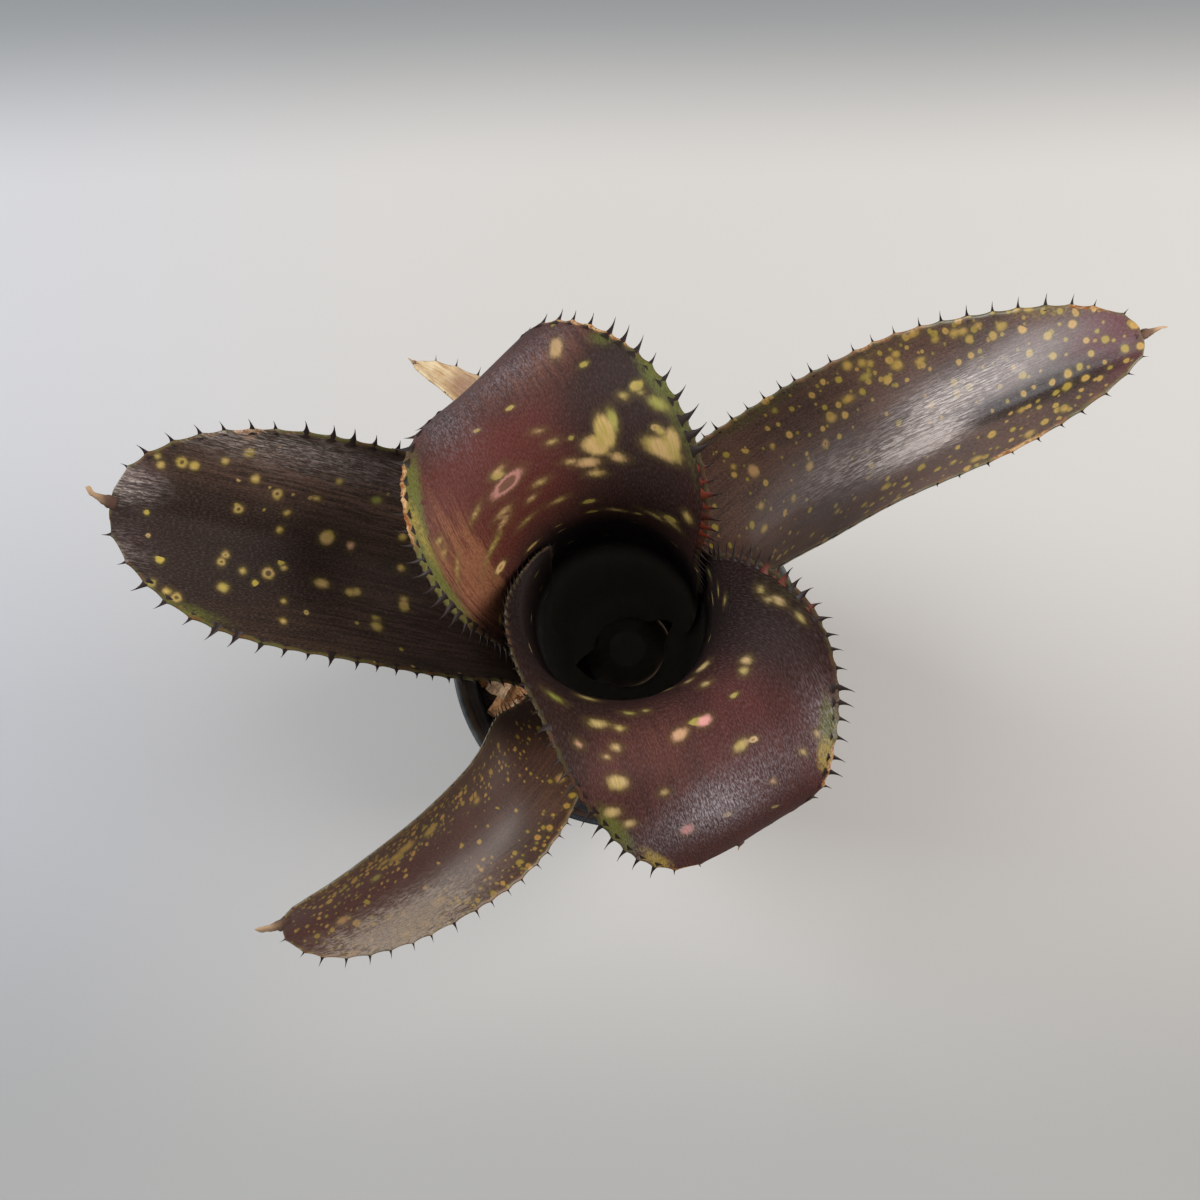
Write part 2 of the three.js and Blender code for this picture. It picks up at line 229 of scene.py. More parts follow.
def turned(name, outline, sides, material):
    """A closed solid turned about +Z from [radius, height] points that run from axis to axis."""
    angles = 2 * math.pi * np.arange(sides) / sides
    rings = [[(r * math.cos(a), r * math.sin(a), z) for a in angles] for r, z in outline[1:-1]]
    points = [p for ring in rings for p in ring]
    points += [(0, 0, outline[0][1]), (0, 0, outline[-1][1])]
    first, last = len(points) - 2, len(points) - 1
    faces = []
    for j in range(sides):
        k = (j + 1) % sides
        faces.append((first, k, j))
        for i in range(len(rings) - 1):
            faces.append((i * sides + j, i * sides + k, (i + 1) * sides + k, (i + 1) * sides + j))
        end = (len(rings) - 1) * sides
        faces.append((last, end + j, end + k))
    return mesh_piece(name, points, faces, material)


def eased(outline, cut):
    """The outline with each inner corner rounded over by three points."""
    points = [np.array(p, float) for p in outline]
    soft = [points[0]]
    for before, here, after in zip(points, points[1:], points[2:]):
        back, on = before - here, after - here
        reach = min(cut, 0.4 * np.linalg.norm(back), 0.4 * np.linalg.norm(on))
        start = here + back / np.linalg.norm(back) * reach
        end = here + on / np.linalg.norm(on) * reach
        soft += [start, 0.25 * start + 0.5 * here + 0.25 * end, end]
    return [tuple(p) for p in soft + [points[-1]]]


def pot_radius(height):
    return POT_FOOT + (POT_RIM - POT_STEP - POT_FOOT) * height / POT_HEIGHT


pot_plastic, spot = start_material("pot_plastic")
scuffs = step(grain(spot, (900, 900, 160), 5, 3.1), 0.55, 0.75)
dust = step(grain(spot, (45, 45, 45), 6, 7.7), 0.42, 0.75)
height_up = split(spot)[2]
limed = dust * step(height_up, 0.055, 0.084)
plastic = blend(scuffs * 0.35, "1d2025", "3b4047")
plastic = blend(limed * 0.55, plastic, "77766f")
finish_material(pot_plastic, plastic, 0.38 + 0.22 * dust + 0.1 * scuffs,
                grain(spot, (1500, 1500, 700), 3), 0.03)

lip_foot = POT_HEIGHT - POT_LIP
at_lip = pot_radius(lip_foot)
outline = [
    (0, 0), (POT_FOOT, 0), (at_lip, lip_foot), (at_lip + POT_STEP, lip_foot + 0.8),
    (POT_RIM, POT_HEIGHT), (POT_RIM - POT_WALL, POT_HEIGHT),
    (at_lip + POT_STEP - POT_WALL, lip_foot + 2 * POT_WALL),
    (pot_radius(lip_foot + POT_WALL) - POT_WALL, lip_foot + POT_WALL),
    (pot_radius(POT_FLOOR) - POT_WALL, POT_FLOOR), (0, POT_FLOOR),
]
pot = turned("pot_shell", eased(outline, 0.8), 176, pot_plastic)
for i in range(DRAIN_HOLES):
    angle = math.radians(360 * (i + 0.5) / DRAIN_HOLES)
    middle = DRAIN_CIRCLE * np.array([math.cos(angle), math.sin(angle), 0]) / 1000
    drill = turned("drill", [(0, -3), (DRAIN_RADIUS, -3), (DRAIN_RADIUS, 6), (0, 6)], 28, pot_plastic)
    drill.data.transform(Matrix.Translation(Vector(middle)))
    cut = pot.modifiers.new("hole", "BOOLEAN")
    cut.operation = "DIFFERENCE"
    cut.object = drill
pot = settled(pot)
for drill in [o for o in bpy.data.objects if o.name.startswith("drill")]:
    bpy.data.objects.remove(drill)
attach(pot, "root")
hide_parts("nursery_pot")


# The potting mix: a dark, fibrous plug that fills the pot, strewn with chips of orange-brown bark.
# The chips lie as they fell, the small crumbs between them.

MIX_TOP = 73
MIX_AIR = 0.3
ROUGH_ABOVE = 60
STEM_HOLE = (13.8, 55.7)
BED_SIDES = 64

bark_mix, spot = start_material("bark_mix")
shred = grain(spot, (420, 420, 420), 6, 1.3)
peat = blend(step(shred, 0.35, 0.7), "0d0906", "3a2717")
finish_material(bark_mix, peat, 0.95, shred, 0.8)

bark_chips, spot = start_material("bark_chips")
own = field(bark_chips, "own", "Fac")
fibre = grain(spot, (500, 500, 1900), 5, 4.0)
chip_colour = blend(step(own, 0.05, 0.6), "8a5228", "dba06a")
chip_colour = blend(step(own, 0.78, 0.8) * 0.8, chip_colour, "d9b48c")
chip_colour = blend(step(fibre, 0.62, 0.38) * 0.6, chip_colour, "2c170b")
finish_material(bark_chips, chip_colour, 0.9, fibre, 0.35)


def start_tree(name):
    """A node tree that works on geometry, and the geometry that it is given."""
    tree = bpy.data.node_groups.new(name, "GeometryNodeTree")
    for way in ("INPUT", "OUTPUT"):
        tree.interface.new_socket("Geometry", in_out=way, socket_type="NodeSocketGeometry")
    return tree, make(tree, "NodeGroupInput")[0]


def strewn(tree, points, body, turn, size, own):
    """A body set on each point, turned and sized, with a number of its own, as one real mesh."""
    many = make(tree, "GeometryNodeInstanceOnPoints", {
        "Points": points, "Instance": body, "Rotation": turn, "Scale": size})[0]
    many = make(tree, "GeometryNodeStoreNamedAttribute", {
        "Geometry": many, "Name": "own", "Value": own}, domain="INSTANCE")[0]
    return make(tree, "GeometryNodeRealizeInstances", {0: many})[0]


def finish_tree(tree, pieces, smooth, material):
    """Hands the pieces out of a node tree, smooth or faceted, in their material."""
    pieces = make(tree, "GeometryNodeSetShadeSmooth", {"Geometry": pieces, "Shade Smooth": smooth})[0]
    pieces = make(tree, "GeometryNodeSetMaterial", {"Geometry": pieces, "Material": material})[0]
    make(tree, "NodeGroupOutput", {0: pieces})
    return tree


def scatter_tree(name, apart, length, width, height, rough, tilt, cuts, seed):
    """Strews rough chips over a surface, each turned and sized by chance. Sizes are in mm."""
    tree, bed = start_tree(name)

    def chance(low, high, more):
        return make(tree, "FunctionNodeRandomValue", {2: low, 3: high, "Seed": seed + more},
                    data_type="FLOAT")[1]

    points = make(tree, "GeometryNodeDistributePointsOnFaces", {
        "Mesh": bed, "Distance Min": apart / 1000, "Density Max": 200000, "Seed": seed},
        distribute_method="POISSON")["Points"]
    body = make(tree, "GeometryNodeMeshCube")["Mesh"]
    body = make(tree, "GeometryNodeSubdivideMesh", {"Mesh": body, "Level": cuts})[0]
    angles = make(tree, "ShaderNodeCombineXYZ", {
        0: chance(-1.0, 1.0, 1) * tilt, 1: chance(-1.0, 1.0, 2) * tilt, 2: chance(0.0, 6.28, 3)})[0]
    size = make(tree, "ShaderNodeCombineXYZ", {
        0: length / 1000 * chance(0.55, 1.25, 4), 1: width / 1000 * chance(0.6, 1.3, 5),
        2: height / 1000 * chance(0.6, 1.3, 6)})[0]
    turn = make(tree, "FunctionNodeEulerToRotation", {0: angles})[0]
    chips = strewn(tree, points, body, turn, size, chance(0.0, 1.0, 7))
    where = make(tree, "GeometryNodeInputPosition")[0]
    knock = make(tree, "ShaderNodeTexNoise", {"Vector": where, "Scale": 260.0, "Detail": 3.0})[1]
    knock = make(tree, "ShaderNodeVectorMath", {0: knock, 1: (0.5, 0.5, 0.5)},
                 operation="SUBTRACT")[0]
    knock = make(tree, "ShaderNodeVectorMath", {0: knock, "Scale": rough / 1000},
                 operation="SCALE")[0]
    chips = make(tree, "GeometryNodeSetPosition", {"Geometry": chips, "Offset": knock})[0]
    return finish_tree(tree, chips, False, bark_chips)


def grown(piece, tree):
    """The piece after a node tree has worked on it."""
    piece.modifiers.new(tree.name, "NODES").node_group = tree
    return settled(piece)


side_top = pot_radius(MIX_TOP) - POT_WALL - MIX_AIR
side_foot = pot_radius(POT_FLOOR) - POT_WALL - MIX_AIR
foot = POT_FLOOR + MIX_AIR
top_rings = [(r, MIX_TOP - 0.9) for r in np.linspace(STEM_HOLE[0], side_top, 40)]
outline = [(0, STEM_HOLE[1]), (STEM_HOLE[0], STEM_HOLE[1]), *top_rings, (side_foot, foot), (0, foot)]
plug = turned("mix_plug", outline[::-1], 150, bark_mix)
for vertex in plug.data.vertices:
    x, y, z = vertex.co * 1000
    if z > ROUGH_ABOVE and math.hypot(x, y) < side_top - 0.4:
        vertex.co.z += 0.0016 * noise.fractal(vertex.co * 300, 0.9, 2.1, 4)
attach(plug, "root")
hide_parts("potting_mix")

for name, inner, outer, level, chips in (
    ("bark_chips", 20, 39.5, 73.2, dict(apart=4.1, length=8.2, width=5.2, height=2.8, rough=2.6,
                                        tilt=0.45, cuts=2, seed=5)),
    ("bark_crumbs", 16, 42.5, 72.6, dict(apart=1.6, length=2.6, width=1.7, height=1.5, rough=1.2,
                                         tilt=1.5, cuts=1, seed=9)),
):
    angles = 2 * math.pi * np.arange(BED_SIDES) / BED_SIDES
    ring = [(r * math.cos(a), r * math.sin(a), level) for r in (inner, outer) for a in angles]
    beside = [(j + 1) % BED_SIDES for j in range(BED_SIDES)]
    faces = [(j, k, BED_SIDES + k, BED_SIDES + j) for j, k in enumerate(beside)]
    bed = mesh_piece(name, ring, faces, bark_chips)
    chips = grown(bed, scatter_tree(name, **chips))
    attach(chips, "root")
    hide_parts("potting_mix")


# The stem: a short woody stub that all the leaves grow from, in the dark among their sheaths. The
# imported solid shows as it is: dry fibrous tissue ringed by old leaf scars, with painted light at
# its top, where it is painted pale to lift the dark at the bottom of the tube.

stem_tissue, spot = start_material("stem_tissue")
scar = step(grain(spot, (60, 60, 900), 3, 2.2), 0.4, 0.62)
# Painted light: the top of the stem is painted pale, to lift the dark at the bottom of the tube.
painted_light_crown = step(split(spot)[2], 0.076, 0.08)
bark = blend(scar, "4a3d2b", "7d6c52")
finish_material(stem_tissue, blend(painted_light_crown, bark, "b2ada2"), 0.9, scar * (1 - painted_light_crown), 0.5)
stem = frame["nodes"]["stem"]
stem.data.materials.clear()
stem.data.materials.append(stem_tissue)


# The leaves: tough, leathery blades with a broad sheath at the foot. Each is pressed from the same
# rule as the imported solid, rolled into the tube below and arching out above, at a finer grain, with
# scalloped margins, a rounded edge and a faint crease along the middle of some.

TUBE_FOOT = 74
TUBE_MOUTH = 250
TUBE_RADII = [8, 14.5, 18.2, 19.5, 20, 20.8, 22.2]
SEAT_GAP = 0.5
SHEATH_RISE = 14
SPIRAL = 0.65
BLADE_THICKNESS = 1.1
EDGE_THICKNESS = 0.75
EDGE_TAPER = 0.6
EDGE_BULGE = 0.28
WAVE_HEIGHT = 0.16
CREASE_WIDTH = 2.4
SPINE_SPACING = 5.7
SPINED_SHEATH = 15
CUSP_HEIGHT = 0.75
CUSP_WIDTH = 0.95
CUSP_DEPTH = 1.4
NOTCH_DEPTH = 0.12
PIXELS_IF_HIDDEN = 40
PROBE_PIXELS = 9
OUT_OF_REACH = 50.0


def ease(value, low, high):
    share = np.clip((value - low) / (high - low), 0, 1)
    return share * share * (3 - 2 * share)


def along(values, t):
    """A smooth curve through evenly spaced values, read at t from 0 to 1."""
    values = np.asarray(values, float)
    values = np.concatenate([[2 * values[0] - values[1]], values, [2 * values[-1] - values[-2]]])
    place = np.clip(t, 0, 1) * (len(values) - 3)
    i = np.minimum(place.astype(int), len(values) - 4)
    f = place - i
    before, here, after, beyond = (values[i + k] for k in range(4))
    bend = 2 * before - 5 * here + 4 * after - beyond
    twist = 3 * (here - after) + beyond - before
    return here + 0.5 * f * (after - before + f * (bend + f * twist))


def unit(vectors):
    return vectors / np.linalg.norm(vectors, axis=-1, keepdims=True)


class Leaf:
    """The middle surface of a leaf as a grid of points, from its seat to its tip and from its
    clockwise edge to the other, with each point's place on the leaf in millimetres."""

    def __init__(self, name, bearing, nest, seat, flare, wrap, length, taper, pitch, turn, roll,
                 curl, half, stem_radius, rows, columns, slide=0, crease=(0, 0)):
        self.name = name

        def tube(height):
            return along(TUBE_RADII, (height - TUBE_FOOT) / (TUBE_MOUTH - TUBE_FOOT)) + nest

        mouth = tube(np.array(flare))
        start_way = math.radians(bearing)

        t = 1 - (1 - np.arange(rows[0]) / rows[0]) ** 1.5
        height = seat + (flare - seat) * t
        rise = ease(height, seat, seat + SHEATH_RISE)
        at_stem = stem_radius + SEAT_GAP + EDGE_THICKNESS / 2
        sheath_radius = at_stem + (tube(height) - at_stem) * rise
        sheath = dict(way=0 * t, pitch=0 * t + 90, roll=0 * t, radius=sheath_radius,
                      reach=np.radians(along(wrap, t)), slide=math.radians(slide) * t,
                      spiral=SPIRAL * rise, run=height - flare, half=sheath_radius)

        fine = np.linspace(0, 0.999, 3000)
        middle = (fine[1:] + fine[:-1]) / 2
        slope = np.radians(along([90, *pitch], middle))
        way = start_way + np.radians(along([0, *turn], middle))
        heading = [np.cos(slope) * np.cos(way), np.cos(slope) * np.sin(way), np.sin(slope)]
        steps = np.stack(heading, -1) * (length * np.diff(fine))[:, None]
        path = np.concatenate([np.zeros((1, 3)), np.cumsum(steps, 0)])

        t = 0.999 * np.sin(math.pi / 2 * np.arange(rows[1] + 1) / rows[1])
        bend = np.radians(along([wrap[-1], *curl], t))
        half_width = along([math.radians(wrap[-1]) * mouth, *half], t)
        left = np.clip((1 - t) * length / taper[0], 0, 1)
        reach = bend * np.sqrt(1 - (1 - left) ** taper[1])
        blade = dict(way=along([0, *turn], t), pitch=along([90, *pitch], t),
                     roll=along([0, *roll], t), radius=half_width / bend, reach=reach,
                     slide=math.radians(slide) * (1 - ease(t, 0, 0.4)),
                     spiral=SPIRAL * (1 - ease(t, 0, 0.5)), run=length * t, half=half_width)

        row = {key: np.concatenate([sheath[key], blade[key]]) for key in sheath}
        way = start_way + np.radians(row["way"])
        out = np.stack([np.cos(way), np.sin(way), 0 * way], -1)
        across = np.stack([-np.sin(way), np.cos(way), 0 * way], -1)
        foot = np.array([math.cos(start_way), math.sin(start_way), 0])
        spine = np.concatenate([
            foot * sheath_radius[:, None] + np.array([0, 0, 1]) * height[:, None],
            foot * mouth + np.array([0, 0, flare])
            + np.stack([np.interp(t, fine, path[:, k]) for k in range(3)], -1)])
        pitched, rolled = np.radians(row["pitch"])[:, None], np.radians(row["roll"])[:, None]
        inward = -np.sin(pitched) * out + np.cos(pitched) * np.array([0, 0, 1])
        up = inward * np.cos(rolled) - across * np.sin(rolled)
        side = across * np.cos(rolled) + inward * np.sin(rolled)
        u = np.linspace(-1, 1, columns + 1)
        angle = row["reach"][:, None] * u + row["slide"][:, None]
        arm = row["radius"][:, None] + row["spiral"][:, None] * angle
        depth = row["radius"][:, None] - arm * np.cos(angle)
        self.points = (spine[:, None] + up[:, None] * depth[..., None]
                       + side[:, None] * (arm * np.sin(angle))[..., None])
        self.end = (spine[-1], unit(spine[-1] - spine[-6]), side[-1])
        self.u = np.broadcast_to(u, angle.shape)
        self.measure(row["run"])
        self.relief(crease, length)

    def measure(self, run):
        """How far each point lies across, along and in from the margin."""
        gaps = np.linalg.norm(np.diff(self.points, axis=1), axis=-1)
        width = np.concatenate([np.zeros((len(gaps), 1)), np.cumsum(gaps, 1)], 1)
        self.half = width[:, -1] / 2
        self.across = width - self.half[:, None]
        self.along = np.broadcast_to(run[:, None], self.across.shape)
        self.inset = np.minimum(self.half[:, None] - abs(self.across), run[-1] - self.along)
        slopes = [np.gradient(self.points, axis=k) for k in (0, 1)]
        self.normal = unit(np.cross(*slopes))

    def relief(self, crease, length):
        """Slow waves in the blade and a crease along its middle."""
        a, b, blade = self.across, self.along, ease(self.along, 0, 30)
        phase = len(self.name)
        waves = np.sin(a / 5.1 + b / 13 + phase) * np.sin(b / 9.3 - a / 17 + 2 * phase)
        fold = np.exp(-((a - crease[1]) / CREASE_WIDTH) ** 2) * ease(b, 0.25 * length, 0.6 * length)
        lift = WAVE_HEIGHT * waves * blade * ease(self.inset, 0, 6) - crease[0] * fold
        self.points = self.points + self.normal * lift[..., None]
        self.pixels = seen_at(self.points)
        facing = (self.normal * unit(EYE - self.points)).sum(-1)
        self.hidden = np.where(facing > 0.03, 0, PIXELS_IF_HIDDEN) - 0.02 * self.points[..., 2]

    def seen(self, x, y):
        """Where on the upper face the camera sees a pixel, as the across and along of that place."""
        near = np.linalg.norm(self.pixels - (x, y), axis=-1) + self.hidden
        i, j = np.unravel_index(np.argmin(near), near.shape)
        return self.across[i, j], self.along[i, j]


def edge_spines(leaf, rng, scale, embers):
    """Foot, outward and tipward directions, size and warmth of each spine, on both margins, and
    draws the margin out into a cusp under each. embers are places where the feet are warm."""
    feet = []
    tip = leaf.along[-1, 0]
    for edge, inner in ((0, 3), (-1, -4)):
        line = leaf.points[:, edge]
        run = np.concatenate([[0], np.cumsum(np.linalg.norm(np.diff(line, axis=0), axis=-1))])
        down = leaf.along[:, 0]
        reach = np.interp(-SPINED_SHEATH, down, run) + rng.uniform(1, 4)
        end = run[-1] - 3.0
        places = []
        while reach < end:
            places.append(reach)
            place = np.interp(reach, run, down)
            reach += SPINE_SPACING * (0.5 + 0.5 * ease(place, 5, 80)) * rng.uniform(0.8, 1.2)
        out = unit(line - leaf.points[:, inner])
        ahead = unit(np.gradient(line, axis=0))
        out = unit(out - ahead * (out * ahead).sum(-1, keepdims=True))
        for s in places:
            mix = [np.array([np.interp(s, run, field[:, k]) for k in range(3)])
                   for field in (line, out, ahead)]
            place = np.interp(s, run, down)
            size = scale * (0.6 + 0.4 * ease(place, -12, 12)) * (1 - 0.3 * ease(place, tip - 12, tip))
            spot = seen_at(mix[0][None])[0]
            heats = [math.exp(-(math.dist(spot, (x, y)) / r) ** 2) for x, y, r in embers]
            feet.append((*mix, size * rng.uniform(0.8, 1.15), max(heats, default=0)))
        nearest = np.min(abs(run[:, None] - np.array(places)), axis=1)
        tooth = CUSP_HEIGHT * scale * np.exp(-nearest / CUSP_WIDTH) - NOTCH_DEPTH
        tooth = tooth * (run < end + 1)
        for column in range(8):
            j = column if edge == 0 else -1 - column
            depth = leaf.half - abs(leaf.across[:, j])
            push = tooth * np.exp(-(depth / CUSP_DEPTH) ** 2)
            leaf.points[:, j] += out * push[:, None]
    return feet


def carry(mesh, name, values):
    """Gives each point of a mesh a number or a vector under a name."""
    values = np.asarray(values, np.float32)
    kind, key = ("FLOAT", "value") if values.ndim == 1 else ("FLOAT_VECTOR", "vector")
    mesh.attributes.new(name, kind, "POINT").data.foreach_set(key, values.ravel())


def blade_mesh(leaf, material):
    """The closed skin round a leaf's middle surface: upper face, rounded edge, lower face."""
    rows, columns = leaf.across.shape
    thickness = BLADE_THICKNESS + (EDGE_THICKNESS - BLADE_THICKNESS) * leaf.u ** 2
    rise = leaf.normal * (thickness / 2)[..., None]
    rise[:, (0, -1)] *= EDGE_TAPER
    out = unit(leaf.points[:, (0, -1)] - leaf.points[:, (2, -3)]) * EDGE_BULGE
    rim = leaf.points[:, (0, -1)] + out
    upper, lower = leaf.points + rise, leaf.points - rise
    loop = np.concatenate([upper, rim[:, 1:], lower[:, ::-1], rim[:, :1]], 1)
    count = loop.shape[1]
    here = np.arange(rows - 1)[:, None] * count + np.arange(count)
    beside = np.arange(rows - 1)[:, None] * count + (np.arange(count) + 1) % count
    faces = np.stack([here, here + count, beside + count, beside], -1).reshape(-1, 4).tolist()
    for i, last in ((0, False), (rows - 1, True)):
        top = i * count + np.arange(columns)
        under = i * count + 2 * columns - np.arange(columns)
        strip = [(top[j], under[j], under[j + 1], top[j + 1]) for j in range(columns - 1)]
        strip += [(top[0], i * count + count - 1, under[0]), (top[-1], under[-1], i * count + columns)]
        faces += [tuple(reversed(face)) if last else face for face in strip]
    piece = mesh_piece(leaf.name, loop.reshape(-1, 3), faces, material)

    def spread(field):
        return np.concatenate([field, field[:, -1:], field[:, ::-1], field[:, :1]], 1)

    face = np.concatenate([np.ones((rows, columns)), np.full((rows, 1), 0.5),
                           np.zeros((rows, columns)), np.full((rows, 1), 0.5)], 1)
    for name, fields in (("place", (leaf.across, leaf.along, leaf.inset)), ("marks", leaf.marks),
                         ("zones", leaf.zones), ("casts", leaf.casts)):
        carry(piece.data, name, spread(np.stack(fields, -1)))
    carry(piece.data, "bloom", np.stack([spread(leaf.scurf), spread(leaf.spotting), face], -1))
    return piece


def mark(leaf, zones, blotches=(), scurf=(0.3,), spotting=(0.5,), hole=None):
    """Lays blotches, tinted zones, scurf and spotting on a leaf. Some dark zones are painted shade,
    some tan ones painted light, and some scurf a painted highlight. Each is given by a pixel of the
    photograph, its reach across and along the blade in mm, and what it does there. A blotch may
    stop at its reach across, when it is round and plain, or before how pink or how hollow it is.
    Where hole is given, the blotches lie round that pixel instead of across the blade."""
    shape = leaf.across.shape
    distance, ring = np.full(shape, OUT_OF_REACH), np.full(shape, OUT_OF_REACH)
    tint = np.zeros(shape)
    for x, y, wide, *more in blotches:
        long, pink, hollow = [*more, *(wide, 0, 0)[len(more):]]
        a, b = leaf.seen(x, y)
        turn = 0.0
        if hole:
            arm = PROBE_PIXELS * unit(np.array([y - hole[1], hole[0] - x], float))
            ends = np.array([leaf.seen(x + k * arm[0], y + k * arm[1]) for k in (-1, 1)])
            turn = math.atan2(ends[1, 1] - ends[0, 1], ends[1, 0] - ends[0, 0])
        aside, on = leaf.across - a, leaf.along - b
        share = np.hypot((aside * math.cos(turn) + on * math.sin(turn)) / wide,
                         (on * math.cos(turn) - aside * math.sin(turn)) / long)
        away = (share - 1) * min(wide, long)
        inside = away < distance
        distance = np.where(inside, away, distance)
        tint = np.where(inside, pink, tint)
        ring = np.where(inside, hollow or OUT_OF_REACH, ring)
    leaf.marks = (distance, tint, ring)

    def cloud(everywhere, *spots):
        field = np.full(shape, float(everywhere))
        for x, y, wide, long, amount in spots:
            a, b = leaf.seen(x, y)
            away = ((leaf.across - a) / wide) ** 2 + ((leaf.along - b) / long) ** 2
            field += amount * np.exp(-away)
        return field

    leaf.zones = [cloud(0, *zones.get(kind, ())) for kind in ("red", "green", "dry")]
    leaf.casts = [cloud(0, *zones.get(kind, ())) for kind in ("tan", "dark", "gold")]
    leaf.scurf = cloud(*scurf)
    leaf.spotting = cloud(*spotting)


def leaf_skin(name, seed, deep, skin, red, tan, cream, yellow, edge, edge_dry, rim, silver, spots, gloss,
              coat, squash=0.85, weave=(2.4, 0.6), sheen=0.42, depth=0.16, heart=0.55, lines=0.0,
              crackle=0.3, shaded_throat=None):
    """The look of a leaf: dark skin with fine lengthwise grain, spots of several sizes that may be
    rings, a paler margin with dry stretches, silvery scurf that is in places a painted highlight,
    dark zones that are in places painted shade, and a banded underside. A throat is the stretch along
    the leaf where its foot, painted near black as painted shade inside the tube, gives way to the
    skin; deeper in the tube the sheath is painted pale, as painted light at the bottom of the tube."""
    material, _ = start_material(name)
    place = field(material, "place")
    inset = split(place)[2]
    marks, zones, casts, bloom = [split(field(material, layer))
                                  for layer in ("marks", "zones", "casts", "bloom")]

    def flow(across, along, detail, turn, warp=0.0):
        return grain(place, (across, along, 0), detail, turn * seed, warp)

    def cells(shift, scale, **settings):
        vector = make(material.node_tree, "ShaderNodeMapping", {
            "Vector": place, "Location": (*shift, 0), "Scale": (*scale, 0)})[0]
        return make(material.node_tree, "ShaderNodeTexVoronoi", {"Vector": vector, "Scale": 1.0},
                    voronoi_dimensions="2D", **settings)

    mottle = flow(0.1, 0.05, 3, 1)
    streak = flow(1.3, 0.06, 4, 2)
    hair = flow(2.2, 0.22, 3, 3)
    patch = flow(0.35, 0.22, 4, 4)
    grit = flow(1.4, 0.9, 3, 7)
    soft = 0.55 + 0.9 * (patch * 0.6 + grit * 0.4)

    colour = blend(step(mottle * 0.6 + streak * 0.4, 0.32, 0.68), deep, skin)

    def lay(share, tone):
        nonlocal colour
        colour = blend(share, colour, tone)

    lay(step(hair, 0.52, 0.7) * 0.35, deep)
    lay(step(zones[0] * soft, 0.0, 1.3) * 0.8, red)
    fibres = step(streak * 0.6 + hair * 0.4, 0.42, 0.58)
    lay(step(casts[0] * (0.35 + 0.8 * fibres), 0.0, 1.3) * 0.85, tan)
    # Dark zones: painted shade round the mouth of the tube, along the right leaf's crease and where the
    # tube's leaves shade the left leaf; elsewhere they darken the skin.
    shade = step(casts[1] * soft, 0.0, 1.3) * 0.85
    lay(shade, "27160e")
    margin_side = 1 - step(inset + 6 * (grit - 0.5), 2.0, 6.0)
    greened = step(zones[1] * margin_side * (0.1 + 2.0 * grit), 0.2, 1.1)
    lay(greened * 0.85, "666a28")
    gilded = step(casts[2] * margin_side * (1.8 * grit), 0.3, 0.8)
    lay(gilded * 0.85, "b5983c")
    # Painted shade: the foot of the leaf inside the tube's mouth is painted near black.
    if shaded_throat:
        down = split(place)[1] + 6 * (patch - 0.5)
        lay((1 - step(down, *shaded_throat)) * 0.88, "130d0b")
    speck = flow(3.8, 1.3, 4, 10)
    lay(step(speck, 0.44, 0.8) * 0.1, silver)
    lay(step(speck, 0.58, 0.3) * 0.45, "1c100b")

    tinge = flow(0.3, 0.3, 3, 8)
    band = 1 - step(inset + 2.0 * patch, 1.05, 1.9)
    margin = blend(step(tinge, 0.46, 0.6), edge, edge_dry)
    lay(band * rim, margin)

    spotted = 0
    for cell, small, large, seen in spots:
        net = cells((7 * seed, cell), (squash / cell, 0.85 / cell))
        own = split(net["Color"])
        radius = small + (large - small) * own[1] * own[1]
        away = (net["Distance"] * cell + 0.55 * (grit - 0.5)) / radius
        there = own[0] < bloom[1] * seen
        halo = there * (1 - step(away, 0.9, 2.1))
        dot = there * (1 - step(away, 0.62, 1.2))
        centre = there * step(own[2], 0.45, 0.5) * (1 - step(away, 0.15, 0.55))
        tone = blend(step(own[2] * 0.6 + tinge * 0.6, 0.4, 0.8), yellow, cream)
        tone = blend(centre * heart, tone, "7c4a1c")
        lay(halo * 0.4, "5d5423")
        lay(dot * (0.5 + 0.5 * own[1]), tone)
        spotted = dot + spotted

    away = marks[0] + 1.0 * (patch - 0.5) + 0.7 * (grit - 0.5)
    blotch = 1 - step(away, -0.75, 0.4)
    hollow = step(away + marks[2], 0.25, -0.25)
    pale = blend(step(patch * 0.5 + hair * 0.5, 0.35, 0.68), yellow, cream)
    pale = blend(step(marks[1], 0.0, 1.0), pale, "e09a92")
    pale = blend(step(0 - marks[1], 0.0, 1.0), pale, "8e9440")
    lay((1 - step(away, -0.2, 1.3)) * 0.35, "6b5a2c")
    lay(blotch * (1 - 0.9 * hollow) * 0.92, pale)

    dry = step(zones[2] * (1 - step(inset + 3.6 * (grit * 0.5 + patch * 0.5), 1.5, 2.9)), 0.2, 0.45)
    crust = blend(step(hair * 0.4 + grit * 0.6, 0.4, 0.6), "8a4f22", "cda674")
    lay(dry, blend(step(inset, 1.2, 2.4) * 0.7, crust, "6a3514"))

    dust = step(flow(*weave, 4, 5, 0.6), 0.4, 0.66)
